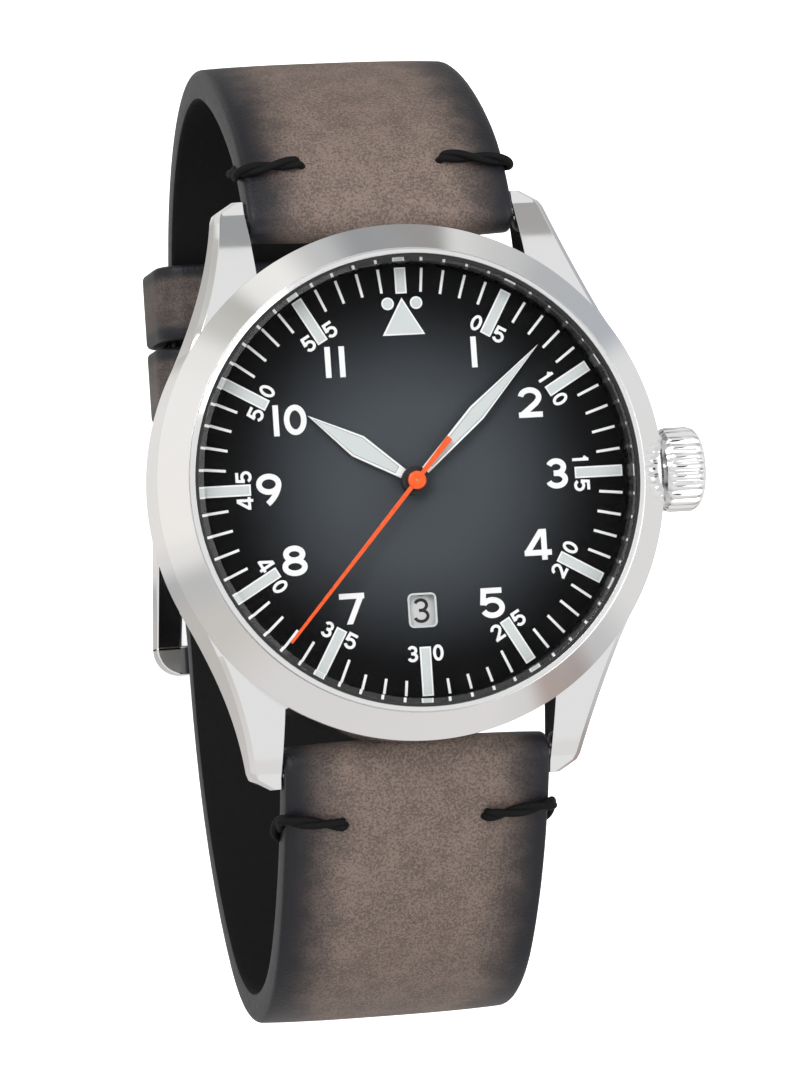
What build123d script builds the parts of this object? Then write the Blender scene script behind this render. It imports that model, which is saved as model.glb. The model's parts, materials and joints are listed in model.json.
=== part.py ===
"""Automatic pilot watch on a closed leather strap, in millimetres.

The origin is the centre of the case back's outer face, on the axis of the hands.
+Z leaves the dial, +Y points to 12 o'clock and +X to the crown.  Heights and
depths in the case are measured from the upper face of the dial.
"""
import os
from math import acos, atan, cos, degrees, pi, radians, sin, sqrt

from build123d import *

os.makedirs("parts", exist_ok=True)

# Case, sized on a 41 mm pilot watch with 22 mm between the lugs
case_radius = 20.5
case_wall = 2.9
bore_radius = case_radius - case_wall
dial_height = 8.3
lug_gap = 22.0
bar_setout = 1.4
strap_bar_reach = case_radius + bar_setout
lug_overhang = 1.65
lug_reach = strap_bar_reach + lug_overhang
case_top_depth = 0.2
case_bottom_depth = 6.4
lug_tip_depth = 7.4
lug_foot_depth = 8.2

# Glass, dial and hands
crystal_height = 3.2
bezel_height = 2.6
dial_fit = 0.2
dial_radius = bore_radius - dial_fit
dial_thickness = 0.3
marker_thickness = 0.08
marker_border = 0.44
marker_length = 3.88
marker_outer = dial_radius - marker_border
marker_inner = marker_outer - marker_length
marker_width = 0.9
hour_angle = 304.0
minute_angle = 45.9
second_angle = 221.7

# Movement: centre distances follow from the teeth, these set the layout
mainplate_radius = 12.8
barrel_angle = 60.0
third_angle = 150.0
escape_angle = -125.0
balance_turn = 12.45
minute_wheel_angle = -60.0
stem_depth = 2.6

# Strap and buckle
strap_lug_gap = 0.2
strap_narrowing = 0.8
strap_half_width = lug_gap / 2 - strap_lug_gap
strap_end_half_width = strap_half_width - strap_narrowing
leather = 1.7
lining = 1.2
strap_bar_depth = 6.6
strap_eye = 1.9
tip_beyond_keeper = 1.1
tip_corner = 6.0
buckle_pin_reach = 1.2

# Clearances and fits
turning_fit = 0.04
sliding_fit = 0.1
wheel_gap = 0.15
keeper_fit = 0.1

tooth_root = 1.25
valley_share = 0.8
up = (Align.CENTER, Align.CENTER, Align.MIN)
full_turn = 360.0
half_turn = 180.0
quarter_turn = 90.0


def polar(distance, angle):
    """Point at a distance from the origin, in a direction from +X."""
    return (distance * cos(radians(angle)), distance * sin(radians(angle)))


def beside(point, distance, angle):
    """Point at a distance from another, in a direction from +X."""
    step = polar(distance, angle)
    return (point[0] + step[0], point[1] + step[1])


def at_height(height):
    """Level plane at a height over the dial."""
    return Plane.XY.offset(dial_height + height)


def disc(centre, radius, near, far, mode=Mode.ADD):
    """Upright disc between two depths under the dial."""
    with Locations((centre[0], centre[1], dial_height - far)):
        Cylinder(radius, far - near, align=up, mode=mode)


def plate(points, near, far, mode=Mode.ADD):
    """Flat plate with a cornered outline between two depths."""
    with BuildSketch(at_height(-far)) as outline:
        Polygon(*points, align=None)
    extrude(outline.sketch, amount=far - near, mode=mode)


def block(corner, opposite, near, far, mode=Mode.ADD):
    """Flat rectangular plate between two depths."""
    near_side = (opposite[0], corner[1])
    far_side = (corner[0], opposite[1])
    plate((corner, near_side, opposite, far_side), near, far, mode)


def ring(centre, outer, inner, near, far):
    """Upright ring between two depths."""
    disc(centre, outer, near, far)
    disc(centre, inner, near, far, Mode.SUBTRACT)


def turned(points):
    """Ring turned about the hand axis from a profile of radius and height."""
    with BuildSketch(Plane.XZ) as profile:
        Polygon(*[(r, dial_height + z) for r, z in points], align=None)
    revolve(profile.sketch, Axis.Z)


def bar(start, end, width):
    """Corners of a straight bar between two points."""
    length = sqrt((end[0] - start[0]) ** 2 + (end[1] - start[1]) ** 2)
    side_x = (start[1] - end[1]) / length * width / 2
    side_y = (end[0] - start[0]) / length * width / 2
    return (
        (start[0] - side_x, start[1] - side_y),
        (end[0] - side_x, end[1] - side_y),
        (end[0] + side_x, end[1] + side_y),
        (start[0] + side_x, start[1] + side_y),
    )


def toothed(centre, teeth, module, near, far, tip_angle, inward=False):
    """Wheel with pointed teeth; one tip stands at the given angle."""
    pitch_radius = teeth * module / 2
    tip = pitch_radius + module
    valley = pitch_radius - tooth_root * module
    half_tooth = half_turn / teeth
    points = []
    for tooth in range(teeth):
        angle = tip_angle + 2 * tooth * half_tooth
        points.append(beside(centre, tip, angle))
        points.append(beside(centre, valley, angle + half_tooth))
    plate(points, near, far)


def gap_towards(angle, teeth):
    """Tip angle that turns a gap between teeth to a direction."""
    return angle + half_turn / teeth


def spiral_faces(centre, inner, pitch, half_turns, width):
    """Half rings, each on its own centre, that run on as one spiral."""
    faces = []
    radius = inner
    middle = centre[0]
    for turn in range(half_turns):
        with BuildSketch() as half:
            with Locations((middle, centre[1])):
                Circle(radius + width / 2)
                Circle(radius - width / 2, mode=Mode.SUBTRACT)
            side = 1 if turn % 2 == 0 else -1
            reach = radius + width
            with Locations((middle, centre[1] + side * reach / 2)):
                Rectangle(2 * reach, reach, mode=Mode.INTERSECT)
        faces.append(half.sketch)
        radius += pitch / 2
        middle += pitch / 2 if turn % 2 == 0 else -pitch / 2
    return faces


def spiral(centre, inner, pitch, half_turns, width, near, far):
    """Flat coiled spring between two depths."""
    for face in spiral_faces(centre, inner, pitch, half_turns, width):
        level_face = at_height(-far) * face
        extrude(level_face, amount=far - near)


def save(part, name):
    """Name a part and write it to its file."""
    part.label = name
    export_step(part, "parts/" + name + ".step")


# Case
lug_top_rise = 0.75
lug_shoulder = bore_radius - 3 * dial_fit
lug_root_sink = 0.1
lug_root_angle = 26.18
lug_waist_gap = 1.25
lug_waist_angle = 45.2
lug_tip_width = 2.2
lug_tip_corner = 0.95
flank_chamfer = 0.9
lug_bar_hole = 0.45
lug_bar_depth = 0.9
tube_radius = 1.1
groove_border = 0.4
groove_depth = 0.6
back_groove_inner = bore_radius + groove_border
back_groove_outer = back_groove_inner + groove_depth
gasket_height = 0.4

with BuildPart() as lug:
    top_z = dial_height - case_top_depth
    base_z = dial_height - case_bottom_depth
    rear_top = (case_radius / 2, top_z)
    shoulder_top = (lug_shoulder, top_z)
    mid_reach = (lug_shoulder + lug_reach) / 2 + lug_top_rise / 2
    mid_z = dial_height - (case_top_depth + lug_tip_depth) / 2 + lug_top_rise
    tip_top = (lug_reach, dial_height - lug_tip_depth)
    tip_foot = (lug_reach - lug_top_rise, dial_height - lug_foot_depth)
    shoulder_foot = (lug_shoulder, base_z)
    rear_foot = (case_radius / 2, base_z)
    with BuildSketch(Plane.YZ.offset(lug_gap / 2)):
        with BuildLine():
            Line(rear_top, shoulder_top)
            ThreePointArc(shoulder_top, (mid_reach, mid_z), tip_top)
            Polyline(tip_top, tip_foot, shoulder_foot, rear_foot, rear_top)
        make_face()
    extrude(amount=case_radius - lug_gap / 2)
    root = polar(case_radius - lug_root_sink, lug_root_angle)
    waist = polar(case_radius + lug_waist_gap, lug_waist_angle)
    outer_tip = (lug_gap / 2 + lug_tip_width, lug_reach - lug_tip_corner)
    with BuildSketch():
        with BuildLine():
            ThreePointArc(root, waist, outer_tip)
            Polyline(outer_tip, (lug_gap / 2, lug_reach), (lug_gap / 2, root[1]), root)
        make_face()
    extrude(amount=dial_height, mode=Mode.INTERSECT)

with BuildPart() as case_middle:
    turned((
        (0, -case_top_depth),
        (case_radius, -case_top_depth),
        (case_radius, flank_chamfer - case_bottom_depth),
        (case_radius - flank_chamfer, -case_bottom_depth),
        (0, -case_bottom_depth),
    ))
    add(lug.part)
    add(mirror(lug.part, Plane.YZ))
    add(mirror(lug.part, Plane.XZ))
    add(mirror(mirror(lug.part, Plane.XZ), Plane.YZ))
    disc((0, 0), bore_radius, case_top_depth, case_bottom_depth, Mode.SUBTRACT)
    disc((0, 0), back_groove_outer, case_bottom_depth - gasket_height, case_bottom_depth, Mode.SUBTRACT)
    with BuildSketch(at_height(-case_bottom_depth)):
        Circle(back_groove_inner)
        Circle(bore_radius, mode=Mode.SUBTRACT)
    extrude(amount=gasket_height)
    hole_length = lug_gap + 2 * lug_bar_depth
    for side in (1, -1):
        with Locations((0, side * strap_bar_reach, dial_height - strap_bar_depth)):
            Cylinder(lug_bar_hole, hole_length, rotation=(0, quarter_turn, 0), mode=Mode.SUBTRACT)
    with BuildSketch(Plane.YZ.offset(bore_radius / 2)):
        with Locations((0, dial_height - stem_depth)):
            Circle(tube_radius)
    extrude(amount=case_radius, mode=Mode.SUBTRACT)
save(case_middle.part, "case_middle")

gasket_wall = 0.25
rim_width = 0.45
rim_radius = bore_radius + gasket_wall
line_radius = rim_radius + rim_width
rim_step = 0.2
with BuildPart() as bezel:
    turned((
        (rim_radius, -case_top_depth),
        (case_radius, -case_top_depth),
        (case_radius, 0),
        (line_radius, bezel_height - rim_step),
        (rim_radius + rim_step / 2, bezel_height),
        (rim_radius, bezel_height),
    ))
save(bezel.part, "bezel")

crystal_radius = bore_radius
crystal_seat = 1.9
crystal_bevel = 0.35
with BuildPart() as crystal:
    turned((
        (0, crystal_seat),
        (crystal_radius, crystal_seat),
        (crystal_radius, crystal_height - 2 * crystal_bevel),
        (crystal_radius - crystal_bevel, crystal_height - crystal_bevel),
        (0, crystal_height),
    ))
save(crystal.part, "crystal")

with BuildPart() as crystal_gasket:
    turned((
        (crystal_radius, crystal_seat),
        (rim_radius, crystal_seat),
        (rim_radius, bezel_height - rim_step),
        (crystal_radius, bezel_height - rim_step),
    ))
save(crystal_gasket.part, "crystal_gasket")

rehaut_top = bore_radius - dial_fit
rehaut_foot = rehaut_top - dial_fit
with BuildPart() as rehaut_ring:
    turned((
        (rehaut_foot, 0),
        (crystal_radius, 0),
        (crystal_radius, -case_top_depth),
        (rim_radius, -case_top_depth),
        (rim_radius, crystal_seat),
        (rehaut_top, crystal_seat),
    ))
save(rehaut_ring.part, "rehaut_ring")

# Screwed back with its window
back_border = 1.5
back_spigot = 1.0
spigot_wall = 1.2
glass_border = 3.0
glass_ledge = 0.8
back_radius = case_radius - back_border
spigot_inner = bore_radius - spigot_wall
back_glass_radius = spigot_inner - glass_border
window_radius = back_glass_radius - glass_ledge
back_lip = 0.6
notch_count = 6
notch_width = 2.2
notch_length = 1.6
with BuildPart() as case_back:
    turned((
        (window_radius, back_lip - dial_height),
        (window_radius, -dial_height),
        (back_radius - back_lip, -dial_height),
        (back_radius, back_lip - dial_height),
        (back_radius, -case_bottom_depth),
        (bore_radius, -case_bottom_depth),
        (bore_radius, back_spigot - case_bottom_depth),
        (spigot_inner, back_spigot - case_bottom_depth),
        (spigot_inner, -case_bottom_depth),
        (back_glass_radius, -case_bottom_depth),
        (back_glass_radius, back_lip - dial_height),
    ))
    with PolarLocations(back_radius, notch_count):
        Box(2 * notch_length, notch_width, 2 * back_lip, mode=Mode.SUBTRACT)
save(case_back.part, "case_back")

with BuildPart() as case_back_glass:
    disc((0, 0), back_glass_radius, case_bottom_depth, dial_height - back_lip)
save(case_back_glass.part, "case_back_glass")

with BuildPart() as case_back_gasket:
    groove_top = case_bottom_depth - gasket_height
    ring((0, 0), back_groove_outer, back_groove_inner, groove_top, case_bottom_depth)
save(case_back_gasket.part, "case_back_gasket")

# Ring that holds the movement, with the way in for the stem
stem_radius = 0.45
stem_bore = stem_radius + turning_fit
holder_depth = 5.0
with BuildPart() as movement_ring:
    ring((0, 0), bore_radius, mainplate_radius, dial_thickness, holder_depth)
    with BuildSketch(Plane.YZ.offset(mainplate_radius / 2)):
        with Locations((0, dial_height - stem_depth)):
            Circle(tube_radius)
    extrude(amount=bore_radius, mode=Mode.SUBTRACT)
save(movement_ring.part, "movement_ring")

# Crown
crown_radius = 3.4
crown_gap = 0.25
crown_length = 3.45
crown_start = case_radius + crown_gap
crown_end = crown_start + crown_length
crown_flutes = 24
crown_hollow = 1.7
hollow_depth = 1.75
crown_hollow_end = crown_start + hollow_depth
crown_edge = 0.8
flute_depth = 0.25
tube_reach = 1.25
tube_end = crown_start + tube_reach
gasket_setback = 0.15
gasket_start = crown_start + gasket_setback
gasket_width = 0.5


def along_stem(radius, start, end, mode=Mode.ADD):
    """Disc on the axis of the stem between two distances from the hands."""
    with BuildSketch(Plane.YZ.offset(start)) as face:
        with Locations((0, dial_height - stem_depth)):
            Circle(radius)
    extrude(face.sketch, amount=end - start, mode=mode)


with BuildPart() as crown_tube:
    along_stem(tube_radius, bore_radius, tube_end)
    along_stem(stem_bore, bore_radius, tube_end, Mode.SUBTRACT)
save(crown_tube.part, "crown_tube")

with BuildPart() as crown:
    flute_points = []
    for flute in range(crown_flutes):
        angle = flute * full_turn / crown_flutes
        land = full_turn / crown_flutes / 4
        flute_points.append(polar(crown_radius, angle - land))
        flute_points.append(polar(crown_radius, angle + land))
        flute_points.append(polar(crown_radius - flute_depth, angle + 2 * land))
    with BuildSketch(Plane.YZ.offset(crown_start)):
        with Locations((0, dial_height - stem_depth)):
            Polygon(*flute_points, align=None)
    extrude(amount=crown_end - crown_start - crown_edge)
    with BuildSketch(Plane.XZ):
        with BuildLine():
            inner_x = crown_end - crown_edge
            axis_z = dial_height - stem_depth
            shoulder = axis_z + crown_radius - flute_depth
            Line((inner_x, axis_z), (crown_end, axis_z))
            Line((crown_end, axis_z), (crown_end - crown_edge / 4, shoulder - crown_edge))
            ThreePointArc(
                (crown_end - crown_edge / 4, shoulder - crown_edge),
                (crown_end - crown_edge / 2, shoulder - crown_edge / 4),
                (inner_x, shoulder),
            )
            Line((inner_x, shoulder), (inner_x, axis_z))
        make_face()
    revolve(axis=Axis((0, 0, dial_height - stem_depth), (1, 0, 0)))
    along_stem(crown_hollow, crown_start, crown_hollow_end, Mode.SUBTRACT)
    along_stem(stem_radius, crown_hollow_end, crown_hollow_end + crown_edge, Mode.SUBTRACT)
save(crown.part, "crown")

with BuildPart() as crown_gasket:
    along_stem(crown_hollow, gasket_start, gasket_start + gasket_width)
    along_stem(tube_radius + turning_fit, gasket_start, gasket_start + gasket_width, Mode.SUBTRACT)
save(crown_gasket.part, "crown_gasket")

stem_start = 6.2
lever_groove = 10.9
groove_width = 0.4
groove_floor = 0.3
with BuildPart() as winding_stem:
    along_stem(stem_radius, stem_start, crown_hollow_end + crown_edge)
    along_stem(stem_radius, lever_groove - groove_width / 2, lever_groove + groove_width / 2, Mode.SUBTRACT)
    along_stem(groove_floor, lever_groove - groove_width / 2, lever_groove + groove_width / 2)
save(winding_stem.part, "winding_stem")

# Dial
window_centre = 10.2
window_width = 2.27
window_height = 2.68
window_corner = 0.4
dial_hole = 1.0
with BuildPart() as dial:
    with BuildSketch(at_height(-dial_thickness)):
        Circle(dial_radius)
        Circle(dial_hole, mode=Mode.SUBTRACT)
        with Locations((0, -window_centre)):
            RectangleRounded(window_width, window_height, window_corner, mode=Mode.SUBTRACT)
    extrude(amount=dial_thickness)
save(dial.part, "dial")

twelve_length = 2.06
triangle_gap = 0.33
triangle_height = 2.97
triangle_half = 1.71
dot_radius = 0.42
dot_side = 1.15
dot_drop = 0.45
twelve_inner = marker_outer - twelve_length
triangle_apex = twelve_inner - triangle_gap
triangle_foot = triangle_apex - triangle_height
dot_reach = triangle_apex - dot_drop
with BuildPart() as hour_markers:
    for hour in range(12):
        clock = quarter_turn - hour * full_turn / 12
        start = twelve_inner if hour == 0 else marker_inner
        plate(bar(polar(start, clock), polar(marker_outer, clock), marker_width), -marker_thickness, 0)
    triangle = ((-triangle_half, triangle_foot), (triangle_half, triangle_foot), (0, triangle_apex))
    plate(triangle, -marker_thickness, 0)
    for side in (-dot_side, dot_side):
        disc((side, dot_reach), dot_radius, -marker_thickness, 0)
save(hour_markers.part, "hour_markers")


# Hands
hand_thickness = 0.2
hour_hand_height = 0.3
minute_hand_height = 0.7
second_hand_height = 1.1
hub_radius = 1.15
hour_pipe = 0.76
cannon_pipe = 0.52
second_arbor = 0.12
hour_shortfall = 3.13
hour_point = 4.65
hour_half = 0.93
minute_shortfall = 2.21
minute_point = 7.39
minute_half = 0.71
hour_tip = marker_inner - hour_shortfall
hour_widest = hour_tip - hour_point
minute_tip = marker_outer - minute_shortfall
minute_widest = minute_tip - minute_point
hand_neck = 0.26
second_shortfall = 0.61
second_tip = marker_outer - second_shortfall
second_tail = 4.3
second_hub = 0.73
second_hub_height = 1.4


def hand_plane(height, clock):
    """Plane at a height whose +Y points at an angle from 12 o'clock."""
    turned_x = (cos(radians(clock)), -sin(radians(clock)), 0)
    return Plane(origin=(0, 0, dial_height + height), x_dir=turned_x, z_dir=(0, 0, 1))


def hand(height, clock, tip, widest, half, pipe):
    """Lozenge hand with its hub, pierced for its pipe."""
    points = ((-hand_neck, 0), (hand_neck, 0), (half, widest), (0, tip), (-half, widest))
    with BuildSketch(hand_plane(height, clock)) as outline:
        Polygon(*points, align=None)
        Circle(hub_radius)
        Circle(pipe, mode=Mode.SUBTRACT)
    extrude(outline.sketch, amount=hand_thickness)


with BuildPart() as hour_hand:
    hand(hour_hand_height, hour_angle, hour_tip, hour_widest, hour_half, hour_pipe)
save(hour_hand.part, "hour_hand")

with BuildPart() as minute_hand:
    hand(minute_hand_height, minute_angle, minute_tip, minute_widest, minute_half, cannon_pipe)
save(minute_hand.part, "minute_hand")

needle_tip = 0.115
needle_root = 0.175
tail_root = 0.15
tail_end = 0.245
with BuildPart() as second_hand:
    second_points = (
        (-tail_end, -second_tail),
        (tail_end, -second_tail),
        (tail_root, 0),
        (needle_root, 0),
        (needle_tip, second_tip),
        (-needle_tip, second_tip),
        (-needle_root, 0),
        (-tail_root, 0),
    )
    with BuildSketch(hand_plane(second_hand_height, second_angle)):
        Polygon(*second_points, align=None)
        Circle(second_arbor, mode=Mode.SUBTRACT)
    extrude(amount=hand_thickness)
    ring((0, 0), second_hub, second_arbor, -second_hub_height, -second_hand_height)
save(second_hand.part, "second_hand")

# Going train
barrel_teeth = 72
centre_leaves = 10
barrel_module = 0.14
centre_teeth = 64
third_leaves = 8
centre_module = 0.108
third_teeth = 60
fourth_leaves = 8
fourth_teeth = 72
escape_leaves = 6
escape_module = 0.098
escape_points = 20
escape_radius = 1.7
barrel_distance = (barrel_teeth + centre_leaves) * barrel_module / 2
third_distance = (centre_teeth + third_leaves) * centre_module / 2
third_module = 2 * third_distance / (third_teeth + fourth_leaves)
escape_distance = (fourth_teeth + escape_leaves) * escape_module / 2
barrel_at = polar(barrel_distance, barrel_angle)
third_at = polar(third_distance, third_angle)
escape_at = polar(escape_distance, escape_angle)
fork_distance = 2.0
balance_distance = 4.2
balance_direction = escape_angle + balance_turn
fork_at = beside(escape_at, fork_distance, balance_direction)
balance_at = beside(escape_at, balance_distance, balance_direction)
pivot_radius = 0.12
pivot_hole = pivot_radius + turning_fit
centre_tube = 0.35
centre_tube_bore = second_arbor + turning_fit
cannon_bore = centre_tube + turning_fit
train_floor = 1.6
barrel_floor = 1.15
bridge_depth = 3.3
barrel_level = 1.2
barrel_top = 2.35
barrel_tooth_level = 2.1
pinion_relief = 0.05
centre_level = 2.5
third_level = 2.8
fourth_level = 3.1
escape_level = 1.9
wheel_thickness = 0.15
train_bridge_depth = 4.3
cock_depth = 4.5

arbor_radius = 0.5
drum_radius = 4.75
drum_wall = 0.25
drum_floor = 0.15
with BuildPart() as barrel:
    disc(barrel_at, drum_radius, barrel_level, barrel_tooth_level)
    toothed(barrel_at, barrel_teeth, barrel_module, barrel_tooth_level, barrel_top, barrel_angle + half_turn)
    disc(barrel_at, drum_radius - drum_wall, barrel_level + drum_floor, barrel_top, Mode.SUBTRACT)
    disc(barrel_at, arbor_radius + turning_fit, barrel_level, barrel_top, Mode.SUBTRACT)
save(barrel.part, "barrel")

cover_thickness = 0.12
with BuildPart() as barrel_cover:
    cover_start = barrel_top - cover_thickness
    ring(barrel_at, drum_radius - drum_wall, arbor_radius + turning_fit, cover_start, barrel_top)
save(barrel_cover.part, "barrel_cover")

spring_strip = 0.14
spring_inner = 0.9
spring_half_turns = 6
spring_pitch = 2 * (drum_radius - drum_wall - spring_strip - spring_inner) / spring_half_turns
with BuildPart() as mainspring:
    spring_start = barrel_level + drum_floor
    spring_end = barrel_top - cover_thickness
    spiral(barrel_at, spring_inner, spring_pitch, spring_half_turns, spring_strip, spring_start, spring_end)
save(mainspring.part, "mainspring")

with BuildPart() as centre_wheel:
    gap = gap_towards(barrel_angle, centre_leaves)
    toothed((0, 0), centre_leaves, barrel_module, barrel_tooth_level - pinion_relief, centre_level, gap)
    toothed((0, 0), centre_teeth, centre_module, centre_level, centre_level + wheel_thickness, third_angle)
    disc((0, 0), centre_tube, -hour_hand_height, barrel_tooth_level)
    disc((0, 0), centre_tube_bore, -hour_hand_height, centre_level + wheel_thickness, Mode.SUBTRACT)
save(centre_wheel.part, "centre_wheel")

with BuildPart() as third_wheel:
    gap = gap_towards(third_angle + half_turn, third_leaves)
    toothed(third_at, third_leaves, centre_module, centre_level - pinion_relief, third_level, gap)
    tip = third_angle + half_turn
    toothed(third_at, third_teeth, third_module, third_level, third_level + wheel_thickness, tip)
    disc(third_at, pivot_radius, train_floor, train_bridge_depth)
save(third_wheel.part, "third_wheel")

with BuildPart() as fourth_wheel:
    gap = gap_towards(third_angle, fourth_leaves)
    toothed((0, 0), fourth_leaves, third_module, third_level - pinion_relief, fourth_level, gap)
    toothed((0, 0), fourth_teeth, escape_module, fourth_level, fourth_level + wheel_thickness, escape_angle)
    disc((0, 0), second_arbor, -second_hand_height - hand_thickness, train_bridge_depth)
save(fourth_wheel.part, "fourth_wheel")

escape_valley = valley_share * escape_radius
with BuildPart() as escape_wheel:
    gap = gap_towards(escape_angle + half_turn, escape_leaves)
    pinion_start = fourth_level - pinion_relief
    toothed(escape_at, escape_leaves, escape_module, pinion_start, bridge_depth - pinion_relief, gap)
    escape_outline = []
    for point in range(escape_points):
        angle = point * full_turn / escape_points
        escape_outline.append(beside(escape_at, escape_radius, angle))
        escape_outline.append(beside(escape_at, escape_valley, angle + half_turn / escape_points))
    plate(escape_outline, escape_level, escape_level + wheel_thickness)
    disc(escape_at, pivot_radius, train_floor, train_bridge_depth)
save(escape_wheel.part, "escape_wheel")

fork_width = 0.25
fork_span = 1.0
fork_drop = 0.5
fork_length = 1.65
fork_notch = 0.3
roller_level = 2.2
pin_reach = 0.5
pin_radius = 0.06
with BuildPart() as pallet_fork:
    level_end = escape_level + wheel_thickness
    fork_end = beside(fork_at, fork_length, balance_direction)
    plate(bar(fork_at, fork_end, 2 * fork_width), escape_level, level_end)
    notch_start = beside(fork_at, fork_length - fork_notch, balance_direction)
    plate(bar(notch_start, fork_end, fork_width), escape_level, level_end, Mode.SUBTRACT)
    left_end = beside(fork_at, fork_span + fork_width / 2, balance_direction + quarter_turn)
    right_end = beside(fork_at, fork_span + fork_width / 2, balance_direction - quarter_turn)
    plate(bar(left_end, right_end, fork_width), escape_level, level_end)
    for side in (quarter_turn, -quarter_turn):
        arm = beside(fork_at, fork_span, balance_direction + side)
        stone = beside(arm, fork_drop, balance_direction + half_turn)
        plate(bar(arm, stone, fork_width), escape_level, level_end)
    disc(fork_at, pivot_radius, train_floor, roller_level + fork_width)
save(pallet_fork.part, "pallet_fork")

balance_radius = 3.9
balance_rim = 0.35
rim_level = 2.45
rim_end = 2.9
arm_level = 2.6
arm_width = 0.5
roller_radius = 0.6
with BuildPart() as balance_wheel:
    ring(balance_at, balance_radius, balance_radius - balance_rim, rim_level, rim_end)
    arm_start = beside(balance_at, balance_radius - balance_rim / 2, 0)
    arm_end = beside(balance_at, balance_radius - balance_rim / 2, half_turn)
    plate(bar(arm_start, arm_end, arm_width), arm_level, arm_level + wheel_thickness)
    disc(balance_at, pivot_radius, train_floor, cock_depth)
    disc(balance_at, roller_radius, roller_level, roller_level + wheel_thickness)
    pin_at = beside(balance_at, pin_reach, balance_direction + half_turn)
    disc(pin_at, pin_radius, escape_level, roller_level)
save(balance_wheel.part, "balance_wheel")

hair_level = 3.0
hair_inner = 0.6
hair_outer = 2.0
hair_strip = 0.08
hair_half_turns = 8
hair_pitch = 2 * (hair_outer - hair_inner) / hair_half_turns
with BuildPart() as hairspring:
    hair_end = hair_level + wheel_thickness
    spiral(balance_at, hair_inner, hair_pitch, hair_half_turns, hair_strip, hair_level, hair_end)
save(hairspring.part, "hairspring")

# Motion work
cannon_leaves = 12
minute_teeth = 36
minute_leaves = 10
hour_teeth = 40
motion_distance = 2.4
cannon_module = 2 * motion_distance / (cannon_leaves + minute_teeth)
hour_module = 2 * motion_distance / (minute_leaves + hour_teeth)
minute_at = polar(motion_distance, minute_wheel_angle)
hour_wheel_level = 0.35
hour_wheel_end = 0.5
minute_level = 0.62
minute_end = 0.77
mainplate_top = 0.9
post_radius = 0.25
with BuildPart() as cannon_pinion:
    cannon_start = minute_level - pinion_relief
    cannon_end = mainplate_top - pinion_relief
    pipe_top = -minute_hand_height - hand_thickness
    toothed((0, 0), cannon_leaves, cannon_module, cannon_start, cannon_end, minute_wheel_angle)
    disc((0, 0), cannon_pipe, pipe_top, minute_level)
    disc((0, 0), cannon_bore, pipe_top, mainplate_top, Mode.SUBTRACT)
save(cannon_pinion.part, "cannon_pinion")

with BuildPart() as hour_wheel:
    pipe_top = -hour_hand_height - hand_thickness
    toothed((0, 0), hour_teeth, hour_module, hour_wheel_level, hour_wheel_end, minute_wheel_angle)
    disc((0, 0), hour_pipe, pipe_top, hour_wheel_level)
    disc((0, 0), cannon_pipe + turning_fit, pipe_top, hour_wheel_end, Mode.SUBTRACT)
save(hour_wheel.part, "hour_wheel")

with BuildPart() as minute_wheel:
    gap = gap_towards(minute_wheel_angle + half_turn, minute_teeth)
    toothed(minute_at, minute_teeth, cannon_module, minute_level, minute_end, gap)
    gap = gap_towards(minute_wheel_angle + half_turn, minute_leaves)
    toothed(minute_at, minute_leaves, hour_module, hour_wheel_level, minute_level, gap)
    disc(minute_at, post_radius, hour_wheel_level, minute_end, Mode.SUBTRACT)
save(minute_wheel.part, "minute_wheel")

date_outer = 11.8
date_tip = 8.7
date_valley = 9.1
date_teeth = 31
date_level = 0.5
date_end = 0.85
with BuildPart() as date_ring:
    disc((0, 0), date_outer, date_level, date_end)
    date_points = []
    for tooth in range(date_teeth):
        angle = -quarter_turn + tooth * full_turn / date_teeth
        date_points.append(polar(date_valley, angle))
        date_points.append(polar(date_tip, angle + half_turn / date_teeth))
    plate(date_points, date_level, date_end, Mode.SUBTRACT)
save(date_ring.part, "date_ring")

jumper_angle = 35.0
jumper_reach = 6.0
jumper_pad = 0.8
jumper_width = 0.35
jumper_lean = 25.0
with BuildPart() as date_jumper:
    pad_at = polar(jumper_reach, jumper_angle - jumper_lean)
    nose_at = polar(date_tip - sliding_fit, jumper_angle)
    plate(bar(pad_at, nose_at, jumper_width), date_level, mainplate_top)
    disc(pad_at, jumper_pad, date_level, mainplate_top)
save(date_jumper.part, "date_jumper")

# Keyless works
winding_leaves = 12
winding_radius = 0.8
winding_start = 8.8
winding_end = 10.2
sliding_radius = 0.65
sliding_start = 7.35
sliding_end = 8.75
sliding_groove = 8.05
sliding_groove_floor = 0.5
pinion_bore = stem_radius + turning_fit


def stem_pinion(radius, start, end):
    """Toothed pinion that turns on the stem."""
    points = []
    for tooth in range(winding_leaves):
        angle = tooth * full_turn / winding_leaves
        points.append(polar(radius, angle))
        points.append(polar(valley_share * radius, angle + half_turn / winding_leaves))
    with BuildSketch(Plane.YZ.offset(start)) as face:
        with Locations((0, dial_height - stem_depth)):
            Polygon(*points, align=None)
            Circle(pinion_bore, mode=Mode.SUBTRACT)
    extrude(face.sketch, amount=end - start)


with BuildPart() as winding_pinion:
    stem_pinion(winding_radius, winding_start, winding_end)
save(winding_pinion.part, "winding_pinion")

with BuildPart() as sliding_pinion:
    groove_start = sliding_groove - groove_width / 2
    groove_end = sliding_groove + groove_width / 2
    stem_pinion(sliding_radius, sliding_start, groove_start)
    stem_pinion(sliding_radius, groove_end, sliding_end)
    along_stem(sliding_groove_floor + turning_fit, groove_start, groove_end)
    along_stem(pinion_bore, groove_start, groove_end, Mode.SUBTRACT)
save(sliding_pinion.part, "sliding_pinion")

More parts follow.
